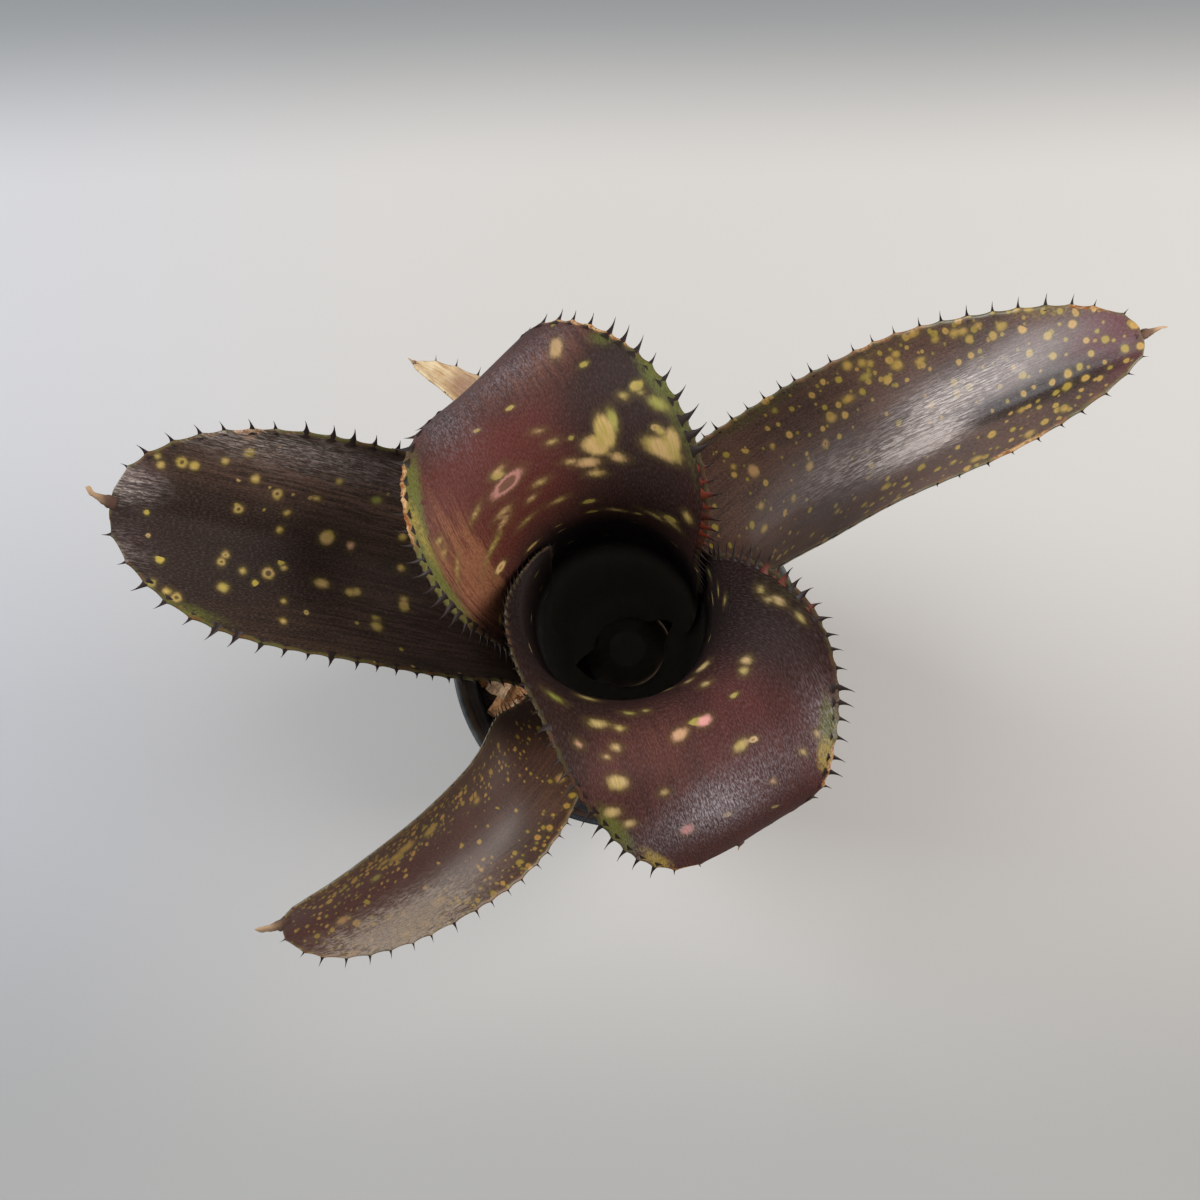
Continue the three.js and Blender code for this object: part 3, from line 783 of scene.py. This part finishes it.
    # Silvery scurf, partly real and partly painted highlight: its clouds also paint the gloss highlights
    # on the right leaf's middle, the lower left leaf's tip and the folds of the tube leaves.
    silvered_and_highlit = (0.3 + 0.7 * dust) * bloom[0] * (1 - 0.75 * shade)
    lay(step(silvered_and_highlit, 0.0, 1.3) * 0.85, silver)
    ruled = step(flow(3.2, 0.05, 2, 9), 0.5, 0.62) * step(bloom[0], 0.3, 0.9)
    web = cells((seed, seed), (1.5, 0.5), feature="DISTANCE_TO_EDGE")["Distance"]
    cracks = (1 - step(web, 0.01, 0.1)) * step(bloom[0] + 0.5 * (patch - 0.5), 0.3, 0.8)
    lay(ruled * lines, "1a1512")
    lay(cracks * crackle, "1a1512")
    # Painted light: deeper in the tube the sheath is painted pale, to lift the dark there.
    if shaded_throat:
        lay(1 - step(split(place)[1], -70, -30), "d6d1c6")

    bands = step(flow(0.03, 0.32, 3, 6) + 0.25 * (dust - 0.5), 0.5, 0.6)
    below = blend(step(streak, 0.3, 0.7), "3a3630", deep)
    below = blend(bands * (0.25 + 0.3 * dust), below, "a6a49c")
    below = blend(dry, blend(band * rim, below, edge), "a87a48")
    colour = blend(bloom[2], below, colour)

    roughness = gloss + 0.18 * silvered_and_highlit + 0.1 * streak - 0.04 * blotch + 0.25 * dry
    relief = 0.45 * hair + 0.3 * streak + 0.2 * silvered_and_highlit + 0.1 * spotted + 0.2 * blotch
    relief = relief - cracks * (0.8 * crackle)
    waxed = coat * (1 - 0.6 * silvered_and_highlit) * (1 - dry) * (1 - shade)
    return finish_material(material, colour, roughness, relief, depth, **{
        "Specular IOR Level": sheen, "Coat Weight": waxed, "Coat Roughness": 0.3})


# The spines: hard, hooked thorns along both margins, near black, and reddish at the foot in a few
# places. One hook is swept along a bent line, flattened like a fin, and set at each cusp.

SPINE_LENGTH = 3.4
SPINE_ROOT = 0.9
SPINE_FLATNESS = 0.4

spine_horn, spot = start_material("spine_horn")
reach = field(spine_horn, "reach", "Fac")
own = field(spine_horn, "own", "Fac")
warm = (1 - step(reach, 0.15, 0.65)) * step(field(spine_horn, "warm", "Fac") + 0.2 * own, 0.15, 0.7)
horn = blend(grain(spot, (900, 900, 900), 3), "0f0a09", "33211a")
horn = blend(warm * 0.7, horn, "7c2f18")
finish_material(spine_horn, horn, 0.45 + 0.2 * own, grain(spot, (2500, 2500, 900), 2), 0.03,
                **{"Specular IOR Level": 0.3})


def spine_tree(lean, foot):
    """Sets a hook on each point, by the directions and size that the point carries. lean is how far
    the hook bends tipward, and foot its width there, in mm."""
    tree, feet = start_tree("margin_spines")

    def carried(name, kind):
        return make(tree, "GeometryNodeInputNamedAttribute", {"Name": name}, data_type=kind)[0]

    start, middle, end = [(x / 1000, 0, z / 1000) for x, z in (
        (0, -SPINE_ROOT), (-0.12 * lean, 0.45 * SPINE_LENGTH), (lean, SPINE_LENGTH))]
    line = make(tree, "GeometryNodeCurveQuadraticBezier", {
        "Resolution": 8, "Start": start, "Middle": middle, "End": end})[0]
    share = make(tree, "GeometryNodeSplineParameter")["Factor"]
    line = make(tree, "GeometryNodeStoreNamedAttribute", {
        "Geometry": line, "Name": "reach", "Value": share}, domain="POINT")[0]
    left = 1 - share
    size = foot / 2000 * (0.24 * left + 0.76 * left * left * left + 0.02)
    ring = make(tree, "GeometryNodeCurvePrimitiveCircle", {"Resolution": 8, "Radius": 1.0})[0]
    hook = make(tree, "GeometryNodeCurveToMesh", {
        "Curve": line, "Profile Curve": ring, "Scale": size, "Fill Caps": True})[0]
    hook = make(tree, "GeometryNodeTransform", {
        "Geometry": hook, "Scale": (1, SPINE_FLATNESS, 1)})[0]
    turn = make(tree, "FunctionNodeAxesToRotation", {
        0: carried("out", "FLOAT_VECTOR"), 1: carried("ahead", "FLOAT_VECTOR")},
        primary_axis="Z", secondary_axis="X")[0]
    chance = make(tree, "FunctionNodeRandomValue", {2: 0.0, 3: 1.0, "Seed": 4}, data_type="FLOAT")[1]
    spines = strewn(tree, feet, hook, turn, carried("size", "FLOAT"), chance)
    return finish_tree(tree, spines, True, spine_horn)


def spine_piece(leaf, feet, lean, foot):
    """All of a leaf's spines as one piece."""
    places, *layers = zip(*feet)
    mesh = bpy.data.meshes.new(leaf.name)
    mesh.from_pydata([tuple(place / 1000) for place in places], [], [])
    for name, values in zip(("out", "ahead", "size", "warm"), layers):
        carry(mesh, name, values)
    points = add_object(leaf.name.replace("blade", "spines"), mesh)
    return grown(points, spine_tree(lean, foot))


# The withered points: each leaf ends in a dead, papery tip that has dried and curled to one side.

withered_tissue, spot = start_material("withered_tissue")
weave = grain(spot, (350, 350, 350), 5, 2.0)
ending = field(withered_tissue, "reach", "Fac")
wilt = blend(step(weave * 0.5 + ending * 0.7, 0.35, 0.95), "54392d", "c6a27c")
finish_material(withered_tissue, wilt, 0.85, weave, 0.4)


def point_piece(leaf, length, width, sweep, hook, end=0.6, lift=0.1, knob=0.0):
    """A crumpled, tapering rod from the end of the blade, bent to one side and hooked at its end,
    where it may swell into a knob."""
    start, ahead, side = leaf.end
    side = unit(side - ahead * (side @ ahead))
    through = np.cross(ahead, side)
    count, sides = 26, 12
    s = np.linspace(0, 1, count)
    curve = (start - ahead * 1.3)[None] + ahead * ((1.3 + 0.9 * length) * s)[:, None]
    curve = curve + side * (sweep * length * s ** 2)[:, None]
    curve = curve + through * (length * (lift * np.sin(math.pi * s) + hook * s ** 4))[:, None]
    points = []
    for place, share in zip(curve, s):
        size = (width + (end - width) * ease(share, 0.15, 0.8)) / 2
        size += knob * math.exp(-((share - 0.88) / 0.09) ** 2)
        size *= 1 - 0.85 * share ** 8
        for j in range(sides):
            a = 2 * math.pi * j / sides + 1.6 * share
            bump = Vector((4 * share + start[0], 2 * math.cos(a), 2 * math.sin(a)))
            r = size * (1 + 0.5 * noise.noise(bump))
            points.append(place + side * r * math.cos(a) + through * 0.5 * r * math.sin(a))
    faces = [(i * sides + j, i * sides + (j + 1) % sides, (i + 1) * sides + (j + 1) % sides,
              (i + 1) * sides + j) for i in range(count - 1) for j in range(sides)]
    faces += [tuple(range(sides))[::-1], tuple(range((count - 1) * sides, count * sides))]
    piece = mesh_piece(leaf.name.replace("blade", "point"), points, faces, withered_tissue)
    carry(piece.data, "reach", np.repeat(s, sides))
    return piece


def dress(leaf, node, material, seed, point, lean, scale, foot=2.6, embers=()):
    """Makes a leaf's blade, spines and withered point, and sets them in the place of its node."""
    feet = edge_spines(leaf, np.random.default_rng(seed), scale, embers)
    spines = spine_piece(leaf, feet, lean, foot)
    for piece in (blade_mesh(leaf, material), spines, point_piece(leaf, **point)):
        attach(piece, "root")
        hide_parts(node)


# The dry leaf: the oldest, outermost one, long dead. It has shrunk to a tan, papery strip with its
# veins standing out, browner towards its foot, and its tip shows behind the upper leaf.

leaf = Leaf(
    "leaf_dry_blade", bearing=125, nest=7.9, seat=75, flare=94, length=100, stem_radius=13.5,
    taper=(26, 1.5), rows=(20, 170), columns=60, wrap=[35, 48, 58, 60, 58, 52],
    pitch=[63, 54, 44, 33, 20, 6], turn=[-10, -10, -7, 1, 15, 30], roll=[6, 9, 15, 24, 36, 41],
    curl=[34, 40, 46, 52, 56, 58], half=[18.5, 15, 11.5, 9, 7.5, 6])
mark(leaf, zones=dict(red=[(466, 390, 6, 6, 0.9)]))
leaf_withered, _ = start_material("leaf_withered")
place = field(leaf_withered, "place")
run = split(place)[1]
veins = grain(place, (1.9, 0.05, 0), 4, 1.0)
stain = grain(place, (0.5, 0.3, 0), 5, 2.0)
papery = blend(step(veins * 0.5 + stain * 0.5, 0.34, 0.62), "b88f62", "e6cfa6")
papery = blend(step(split(field(leaf_withered, "zones"))[0], 0.1, 0.9) * 0.7, papery, "8c6454")
papery = blend(1 - step(run + 40 * stain, 30, 80), papery, "5a3a22")
finish_material(leaf_withered, papery, 0.8, veins, 0.35)
dress(leaf, "leaf_dry", leaf_withered, 6,
      dict(length=2.5, width=1.8, sweep=-0.3, hook=0.1), lean=0.3, foot=2.2, scale=0.75)


# The lower left leaf: old, narrow and deeply channelled, russet brown and crowded with small yellow
# spots that run together along its margins.

leaf = Leaf(
    "leaf_lower_left_blade", bearing=230.5, nest=6.9, seat=77, flare=118, length=121, stem_radius=12.87,
    taper=(33, 2.2), rows=(26, 200), columns=80, wrap=[45, 58, 62, 50, 36, 28],
    pitch=[56, 48, 40, 34, 32, 34], turn=[10, 3, -8, -16, -24, -35], roll=[-1, -16, -32, -39, -47, -61],
    curl=[26, 40, 50, 50, 46, 46], half=[11, 16, 19.3, 18.5, 17.5, 19])
# The strong scurf cloud near the tip is scurf and painted highlight.
mark(leaf, blotches=[
    (430, 830, 1.3, 2.2, -0.2), (404, 846, 1.4, 3, -0.1), (394, 856, 1.1, 2.2), (384, 861, 0.9, 1.7),
    (475, 800, 1, 1.2, 0.1), (374, 876, 0.9, 1.4, -0.5), (560, 779, 1.1, 1.6, 0.3),
    (439, 902, 1.2, 2.4, 0.2), (408, 933, 1.2, 2, 0.1), (425, 923, 1, 1.4), (389, 917, 0.8, 1.2),
    (342, 920, 1, 1.6, 0.3)
], zones=dict(
    red=[(325, 905, 12, 18, 1.3), (420, 860, 9, 40, 0.8)],
    dry=[(330, 958, 4, 10, 0.7), (500, 885, 3, 16, 0.5)],
    tan=[(545, 790, 14, 20, 0.4)],
    gold=[(430, 835, 4, 30, 0.5), (535, 875, 3, 14, 0.3)]
), scurf=[
    0.12, (402, 927, 6, 17, 2.6), (455, 880, 8, 24, 0.1)
], spotting=[
    0.1, (350, 880, 6, 20, 1), (400, 845, 6, 18, 1), (460, 800, 4.5, 18, 0.9), (520, 750, 4, 16, 0.5),
    (430, 925, 4, 50, 0.9), (330, 930, 10, 10, 0.5), (540, 880, 4, 16, 0.5)
])
leaf_russet = leaf_skin(
    "leaf_russet", seed=5, deep="40291f", skin="644131", red="5e2a20", tan="7a5641", cream="c8944a",
    yellow="a98c34", edge="7d6a30", edge_dry="a06a34", rim=0.5, silver="b9a694",
    spots=[(1.6, 0.2, 0.6, 1), (3, 0.35, 0.9, 0.7)], gloss=0.42, coat=0.45, heart=0.15)
dress(leaf, "leaf_lower_left", leaf_russet, 5,
      dict(length=7.5, width=4.2, end=2.2, sweep=0.2, hook=-0.1), lean=0.5, scale=0.78)


# The right leaf: the longest, reaching out to the right, mauve brown with a silvery sheen down its
# creased middle that is scurf and painted highlight, painted shade in the crease, yellow spots along
# its upper margin and a purplish tip.

leaf = Leaf(
    "leaf_right_blade", bearing=34.5, nest=5, seat=79, flare=148, length=153, stem_radius=12.02,
    taper=(56, 1.55), crease=(0.9, -3.6), rows=(34, 230), columns=96, wrap=[50, 84, 92, 92, 88, 82],
    pitch=[56, 50, 44, 39, 30, 18], turn=[6, -4, -11, -15, -14, -15],
    roll=[-15, -25, -23, -24, -21, -23], curl=[56, 58, 53, 50, 43, 40],
    half=[27, 24.5, 23.5, 22.5, 21, 21])
# The strong scurf clouds down the middle are scurf and painted highlight; the dark zones along the
# crease are painted shade.
mark(leaf, blotches=[
    (756, 469, 1.7, 1.7, 0.35), (828, 443, 1.1, 1.1, 0.3, 0.7), (775, 445, 0.9, 0.9, 0.2),
    (735, 465, 0.9), (767, 528, 1.1, 1.4, 0.1), (795, 498, 1), (763, 506, 1, 1.2, 0.2),
    (838, 513, 0.9, 0.9, -0.3), (812, 465, 1.2, 1.4, 0.2), (832, 418, 1, 1.5, 0.2), (850, 398, 1, 1.8),
    (898, 364, 1.3, 1.6), (921, 360, 0.9, 1.5, -0.1), (848, 364, 1.3), (862, 362, 1.1), (871, 363, 0.9),
    (896, 354, 1), (914, 334, 0.9, 1.9, 0.1), (936, 339, 0.8, 1.1), (954, 333, 1, 1.2, 0.1),
    (964, 331, 1, 1.2), (980, 326, 0.9, 1), (1003, 326, 1, 1.3, 0.1), (1017, 309, 0.9, 1, 0.1),
    (1030, 306, 0.8, 1), (868, 376, 0.9, 1.7, -0.4), (777, 410, 0.8, 0.9, -0.5), (1067, 410, 0.9, 1),
    (1022, 411, 0.8, 1), (1029, 435, 1.2, 1.4, 0.2), (887, 489, 1, 1.2, 0.1), (954, 463, 0.8, 0.9),
    (977, 460, 1.1, 1.5)
], zones=dict(
    red=[(1125, 335, 12, 12, 1.3)],
    green=[(860, 350, 5, 34, 0.35), (740, 420, 7, 16, 0.4), (880, 500, 6, 22, 0.4)],
    dry=[(1018, 444, 3.5, 6, 1.3), (1090, 296, 4, 16, 0.6), (880, 345, 3, 22, 0.5)],
    tan=[(760, 500, 16, 22, 0.9)],
    dark=[(1040, 393, 4, 20, 0.8), (1000, 414, 3, 12, 0.6), (1085, 378, 4, 12, 0.6)],
    gold=[(865, 365, 5, 24, 0.5), (1065, 305, 6, 22, 0.5)]
), scurf=[
    0.1, (948, 399, 4.5, 15, 1.3), (928, 443, 3.6, 12, 2.6), (878, 462, 6, 12, 0.6),
    (826, 478, 6, 12, 0.5), (1010, 365, 4.5, 14, 0.4)
], spotting=[
    0.3, (900, 352, 8, 44, 1), (1080, 315, 16, 24, 0.9), (960, 460, 5, 40, 0.6),
    (1080, 400, 10, 20, 0.7)
])
leaf_mauve = leaf_skin(
    "leaf_mauve", seed=4, deep="493126", skin="6b4838", red="6c3038", tan="75503a", cream="d0a256",
    yellow="b3963c", edge="6a6430", edge_dry="9a6a36", rim=0.55, silver="f6e4da",
    spots=[(2.8, 0.3, 0.9, 0.8), (5, 0.4, 1.2, 0.5)], weave=(3.4, 0.3), gloss=0.42, coat=0.75,
    depth=0.2, heart=0.15, lines=0.45, crackle=0.22)
dress(leaf, "leaf_right", leaf_mauve, 4,
      dict(length=6, width=2.3, end=0.8, sweep=0.15, lift=-0.1, hook=-0.5), lean=0.6, scale=0.78)


# The left leaf: broad, near black with an olive cast, a few cream rings and yellow-green flecks, and
# a hooded, scurfy tip that ends in a tan hook.

leaf = Leaf(
    "leaf_left_blade", bearing=166.5, nest=4.4, seat=80, flare=175, length=117, stem_radius=11.6,
    taper=(43, 1.8), crease=(0.4, 0), rows=(44, 200), columns=104, wrap=[50, 92, 100, 98, 92, 86],
    pitch=[52, 44, 35, 28, 21, 16], turn=[-3, 1, 2, 3, 3, 5], roll=[15, 6, 0, -4, -8, -10],
    curl=[63, 59, 55, 49, 40, 26], half=[29, 29, 28, 27, 26, 24])
# Painted shade: the strong dark zone on the lower left of the blade, where the tube's leaves cast their
# shadow. Painted light: the tan zone by the tube. The scurf along the upper part is partly a painted
# highlight.
mark(leaf, blotches=[
    (250, 437, 0.9, 1.3, 0.5), (249, 451, 1.2), (225, 459, 0.8), (254, 477, 1.1),
    (183, 462, 1.2, 1.2, 0, 0.7), (194, 465, 1, 1, 0.1), (160, 464, 0.9, 0.9, -0.2),
    (157, 455, 0.8, 0.8, -0.4), (276, 493, 1.2, 1.2, 0.1, 0.7), (238, 509, 1, 1, 0, 0.6),
    (339, 479, 0.8), (375, 500, 1, 1.3, -0.8), (316, 497, 0.6, 0.9), (286, 513, 0.7, 0.8),
    (277, 530, 0.7), (327, 537, 1.7, 1.8, 0.15), (350, 545, 1, 1, 0.5), (403, 537, 0.9, 1),
    (226, 556, 0.9, 0.9, 0, 0.6), (220, 563, 1, 1, 0, 0.6), (242, 571, 0.8, 0.8, -0.2),
    (268, 573, 1.4, 1.4, 0.2, 0.75), (283, 567, 0.8), (321, 584, 1.1, 1.7, 0.2), (400, 568, 0.8, 1.1),
    (223, 588, 1, 1.2, -0.3), (152, 583, 0.9, 0.9, -0.5, 0.5), (167, 592, 0.7, 1),
    (176, 598, 1.1, 1.1, 0.1, 0.6), (349, 592, 1, 1.2, -0.1), (357, 592, 1, 1.4, -0.1), (403, 607, 1.5),
    (403, 599, 0.8, 1.2, -0.1), (376, 627, 1.2, 1.4), (376, 618, 0.6, 1, -0.3), (282, 602, 0.7),
    (282, 623, 0.8)
], zones=dict(
    red=[(138, 482, 5, 6, 0.9), (128, 545, 5, 8, 0.8)],
    green=[(180, 612, 3, 14, 0.6), (360, 655, 6, 30, 0.3)],
    dry=[(250, 437, 2.2, 2.6, 2.5)],
    tan=[(300, 480, 9, 50, 0.65), (400, 480, 10, 30, 0.4), (400, 625, 14, 34, 0.65)],
    dark=[(300, 600, 14, 60, 0.3), (205, 540, 14, 28, 1.5)]
), scurf=[
    0.02, (131, 487, 4, 7, 2.2), (250, 438, 5, 44, 0.8), (122, 550, 6, 8, 1.3), (330, 465, 7, 40, 0.25),
    (150, 590, 5, 12, 0.2)
], spotting=[
    0.22, (200, 530, 20, 24, 0.15)
])
leaf_olive = leaf_skin(
    "leaf_olive", seed=3, deep="2b1f16", skin="463328", red="7c5a60", tan="76584a", cream="dcb27a",
    yellow="bfa648", edge="6e6a2c", edge_dry="7a5226", rim=0.5, silver="c2b2a8",
    spots=[(4.6, 0.3, 0.8, 0.5), (8.5, 0.4, 1, 0.3)], weave=(2.8, 0.5), gloss=0.5, coat=0, sheen=0.17,
    lines=0.6, crackle=0.4)
dress(leaf, "leaf_left", leaf_olive, 3,
      dict(length=6.5, width=2.9, end=1.1, sweep=-0.4, hook=0.35, knob=0.7),
      lean=0.9, foot=3.0, scale=1.02)


# The two tube leaves: the youngest pair, wine red and satiny, rolled into each other below and curled
# right over above, one to the lower right and one to the upper left.

TUBE_MIDDLE = (608, 600)
WINE = dict(edge_dry="7a5030", rim=0.3, spots=[(4, 0.35, 0.8, 0.7)], squash=0.45, weave=(3.4, 1), coat=0)
WINE_POINT = dict(length=4, width=2.2, sweep=-0.3, hook=0.2)

leaf = Leaf(
    "leaf_lower_blade", bearing=310, nest=0.8, seat=84, flare=232, length=63, stem_radius=9.8,
    slide=-42, taper=(34, 2), rows=(64, 150), columns=140, wrap=[60, 108, 121, 131, 134, 134],
    pitch=[87, 50, 14, -20, -49, -77], turn=[-6, -15, -19, -22, -18, -7], roll=[0, -4, -8, -4, 0, 2],
    curl=[104, 64, 29, 10, 4, 4], half=[42.5, 37, 31, 27.5, 28, 31])
# Painted shade: the dark zones round the mouth of the tube. The scurf on the lower right fold is partly
# a painted highlight.
mark(leaf, blotches=[
    (704, 668, 2, 1.2, 0.1), (748, 661, 1.2, 0.9, 0.2), (745, 673, 1, 0.6), (706, 685, 1.3, 0.7),
    (691, 683, 1.1, 0.6), (665, 690, 1.4, 0.9, 0.1), (671, 673, 1.2, 0.6, -0.3),
    (553, 697, 1.9, 0.6, -0.9), (587, 701, 2, 0.8, -0.3), (630, 715, 1.2, 0.6, -0.6),
    (645, 713, 0.8, 0.5, -0.4), (598, 726, 2.2, 0.9, -0.2), (618, 730, 1, 0.6),
    (578, 744, 0.9, 0.5, 0.5), (615, 750, 1.2, 0.8), (605, 757, 0.8, 0.4, 0.2), (704, 722, 1.6, 1.1, 1),
    (680, 735, 1.9, 1.1, 0.45), (742, 745, 1.7, 1, 0.1), (617, 782, 2.3, 1.3), (663, 793, 0.9, 0.6),
    (612, 812, 2, 1), (629, 823, 1.4, 0.9, 0.1), (686, 828, 1.6, 1.3, 1), (773, 781, 0.6, 0.6, 0.4),
    (803, 752, 0.6, 0.8), (818, 734, 0.6, 0.8, 0.2), (711, 571, 1.2, 0.6, -0.6),
    (720, 589, 1, 0.5, -0.4), (686, 599, 1.2, 0.5, -0.4), (727, 599, 0.8, 0.4, -0.2),
    (699, 616, 1, 0.5, -0.4), (781, 600, 1, 0.9, 0.2), (770, 600, 0.7, 0.6, -0.2), (762, 590, 0.8, 0.5),
    (802, 617, 0.7)
], zones=dict(
    red=[(745, 690, 16, 14, 0.6)],
    green=[(830, 735, 4, 9, 1.2), (615, 836, 4, 8, 1.2), (762, 790, 4, 6, 0.6), (741, 812, 4, 5, 0.5),
        (785, 590, 4, 8, 0.4)],
    dry=[(685, 858, 4, 9, 1.4), (828, 766, 4, 6, 1.4)],
    tan=[(660, 745, 8, 20, 0.35), (790, 620, 8, 10, 0.6)],
    dark=[(700, 640, 14, 12, 0.9), (600, 705, 14, 8, 0.9), (768, 612, 16, 14, 1.5),
        (532, 692, 12, 12, 1.6), (512, 640, 16, 10, 0.8)],
    gold=[(824, 755, 4, 6, 0.9), (655, 852, 4, 8, 0.9)]
), scurf=[
    0.1, (717, 805, 10, 6, 1.1), (780, 760, 12, 7, 0.4), (650, 845, 12, 6, 0.4), (825, 705, 5, 12, 0.6),
    (515, 590, 20, 14, 0.25)
], spotting=[
    0.2, (720, 600, 10, 16, 0.3), (515, 620, 30, 24, -0.2)
], hole=TUBE_MIDDLE)
leaf_wine = leaf_skin(
    "leaf_wine", seed=2, deep="3d231d", skin="5a2f28", red="672926", tan="6a4434", cream="d8b484",
    yellow="a9984c", edge="5e5a2a", silver="b8acb0", gloss=0.56, sheen=0.13, lines=0.25,
    shaded_throat=(4, 30), **WINE)
dress(leaf, "leaf_lower", leaf_wine, 2, WINE_POINT, lean=1.0, foot=3.0, scale=1.0,
      embers=[(728, 536, 14), (770, 580, 16), (806, 612, 10)])

leaf = Leaf(
    "leaf_upper_blade", bearing=117, nest=0.8, seat=86, flare=225, length=79, stem_radius=8.9,
    taper=(61, 2), rows=(64, 170), columns=124, wrap=[60, 104, 106, 104, 100, 96],
    pitch=[87, 52, 13, -32, -68, -96], turn=[-2, -6, -4, 3, 13, 22], roll=[-1, -1, 0, 0, 0, 0],
    curl=[76, 48, 22, 8, 4, 9], half=[32.5, 34.5, 33, 29.5, 26, 26])
# The red and green on the left lobe are the leaf's colour and also painted light shining through it. The
# scurf on the upper left slope is partly a painted highlight.
mark(leaf, blotches=[
    (596, 445, 3.2, 2, 0.15), (604, 430, 2.2, 3.4, -0.1), (613, 419, 1.3, 2.2, -0.6),
    (664, 449, 4, 1.8, 0.15), (674, 443, 1.8, 2.2, 0.1), (661, 429, 1.2, 0.8, -0.1),
    (589, 462, 2.7, 1.1, 0.3), (595, 471, 1.8, 0.7, 0.2), (619, 457, 1.8, 0.8, 0.3),
    (657, 402, 2, 1, -0.6), (570, 460, 1.4, 0.5, 0.3), (538, 430, 0.9, 0.4, 0.3),
    (551, 442, 1, 0.4, 0.2), (557, 349, 1.5, 2.7, 0.3), (505, 484, 4.2, 1.4, 0.9, 0.45),
    (497, 471, 1.6, 0.6, 0.3), (540, 481, 1.6, 0.6, 0.2), (532, 497, 1.3, 0.5, 0.3),
    (473, 513, 1.7, 0.5), (501, 512, 1.9, 0.6, 0.3), (502, 520, 2.1, 0.6, 0.3), (439, 542, 0.9, 0.45),
    (443, 553, 1, 0.45), (455, 566, 1.3, 0.3), (491, 548, 2.6, 0.4, -0.3), (527, 518, 1.8, 0.4, -0.2),
    (657, 515, 2.2, 0.6, -0.2), (672, 522, 2, 0.6, -0.2), (687, 516, 1.2, 0.9, -0.1),
    (617, 508, 2.2, 0.7, 0.2), (557, 498, 1.6, 0.5, 0.2), (624, 397, 1, 0.6, -0.3),
    (640, 394, 0.8, 0.5, -0.4)
], zones=dict(
    red=[(540, 445, 17, 11, 1.3), (500, 500, 15, 12, 1), (470, 552, 10, 16, 1.2), (695, 505, 3, 12, 1)],
    green=[(426, 503, 8, 12, 1.2), (432, 572, 2.2, 10, 1.2), (600, 338, 12, 3, 0.7),
        (652, 366, 3, 10, 0.9), (685, 430, 2, 12, 0.5), (487, 585, 3, 10, 0.3)],
    dry=[(413, 505, 3, 16, 1.6), (572, 332, 24, 8, 1.6)],
    tan=[(462, 575, 9, 10, 0.4), (550, 360, 20, 8, 0.5), (488, 598, 6, 16, 1.8)],
    dark=[(640, 490, 18, 14, 0.8), (645, 400, 18, 12, 1.5), (680, 460, 8, 20, 0.9),
        (632, 385, 14, 8, 0.5), (620, 350, 12, 6, 0.4)],
    gold=[(428, 545, 2.5, 14, 0.7)]
), scurf=[
    0.1, (499, 380, 14, 7, 0.42), (447, 432, 7, 9, 0.5), (540, 350, 14, 6, 0.3)
], spotting=[
    0.25, (620, 510, 20, 12, 0.35), (650, 420, 12, 10, 0.2)
], hole=TUBE_MIDDLE)
leaf_wine_upper = leaf_skin(
    "leaf_wine_upper", seed=1, deep="3a2119", skin="573025", red="60241a", tan="966040", cream="cfa870",
    yellow="a79444", edge="5f602c", silver="a4979c", gloss=0.52, sheen=0.24, lines=0.2,
    shaded_throat=(-2, 26), **WINE)
dress(leaf, "leaf_upper", leaf_wine_upper, 1, WINE_POINT, lean=1.0, foot=2.9, scale=1.15,
      embers=[(703, 471, 12), (701, 497, 16), (703, 530, 14)])


# The studio: a pale floor that falls away into grey at the back, painted shade that also darkens it
# towards the front, with painted cool light on its left, and two big soft windows, a cool one to the
# left and a warm one to the right.

FLOOR_REACH = 3000
WINDOW_DISTANCE = 1.0
AIM_HEIGHT = 0.12

pale_floor, spot = start_material("pale_floor")
spread = split(spot)
wander = 0.012 * (grain(spot, (3, 3, 3), 2) - 0.5)
# Painted shade: grey at the back and darker towards the front. Painted light: a cool tint on the left.
far = step(spread[1] + wander, 0.154, 0.224) * (1 - step(spread[1], 0.26, 0.5))
near = step(0 - spread[1], 0.04, 0.16)
cool = step(0 - spread[0], 0.06, 0.22)
pale = blend(cool, "d1cdc8", "cbcacc")
pale = blend(near * 0.9, pale, "b0afac")
pale = blend(far, pale, "8b8d8e")
finish_material(pale_floor, pale, 0.9)
corners = [(x * FLOOR_REACH, y * FLOOR_REACH, 0) for x, y in ((-1, -1), (1, -1), (1, 1), (-1, 1))]
floor = mesh_piece("floor", corners, [(0, 1, 2, 3)], pale_floor)

for name, bearing, rise, width, height, power, colour in (
    ("left_window", 162, 38, 0.5, 0.7, 7.3, (0.9, 0.95, 1.0)),
    ("right_window", 15, 44, 0.6, 0.6, 7.6, (1.0, 0.97, 0.935)),
):
    light = add_object(name, bpy.data.lights.new(name, "AREA"))
    light.data.shape = "RECTANGLE"
    light.data.size = width
    light.data.size_y = height
    light.data.energy = power
    light.data.color = colour
    way, rise = math.radians(bearing), math.radians(rise)
    way = Vector((math.cos(way) * math.cos(rise), math.sin(way) * math.cos(rise), math.sin(rise)))
    light.location = Vector((0, 0, AIM_HEIGHT)) + way * WINDOW_DISTANCE
    light.rotation_mode = "QUATERNION"
    light.rotation_quaternion = way.to_track_quat("Z", "Y")

world = bpy.data.worlds.new("room")
bpy.context.scene.world = world
world.use_nodes = True
feed(world.node_tree.nodes["Background"], {"Color": (0.94, 0.95, 0.985, 1), "Strength": 0.31})
bpy.context.scene.view_settings.view_transform = "Standard"
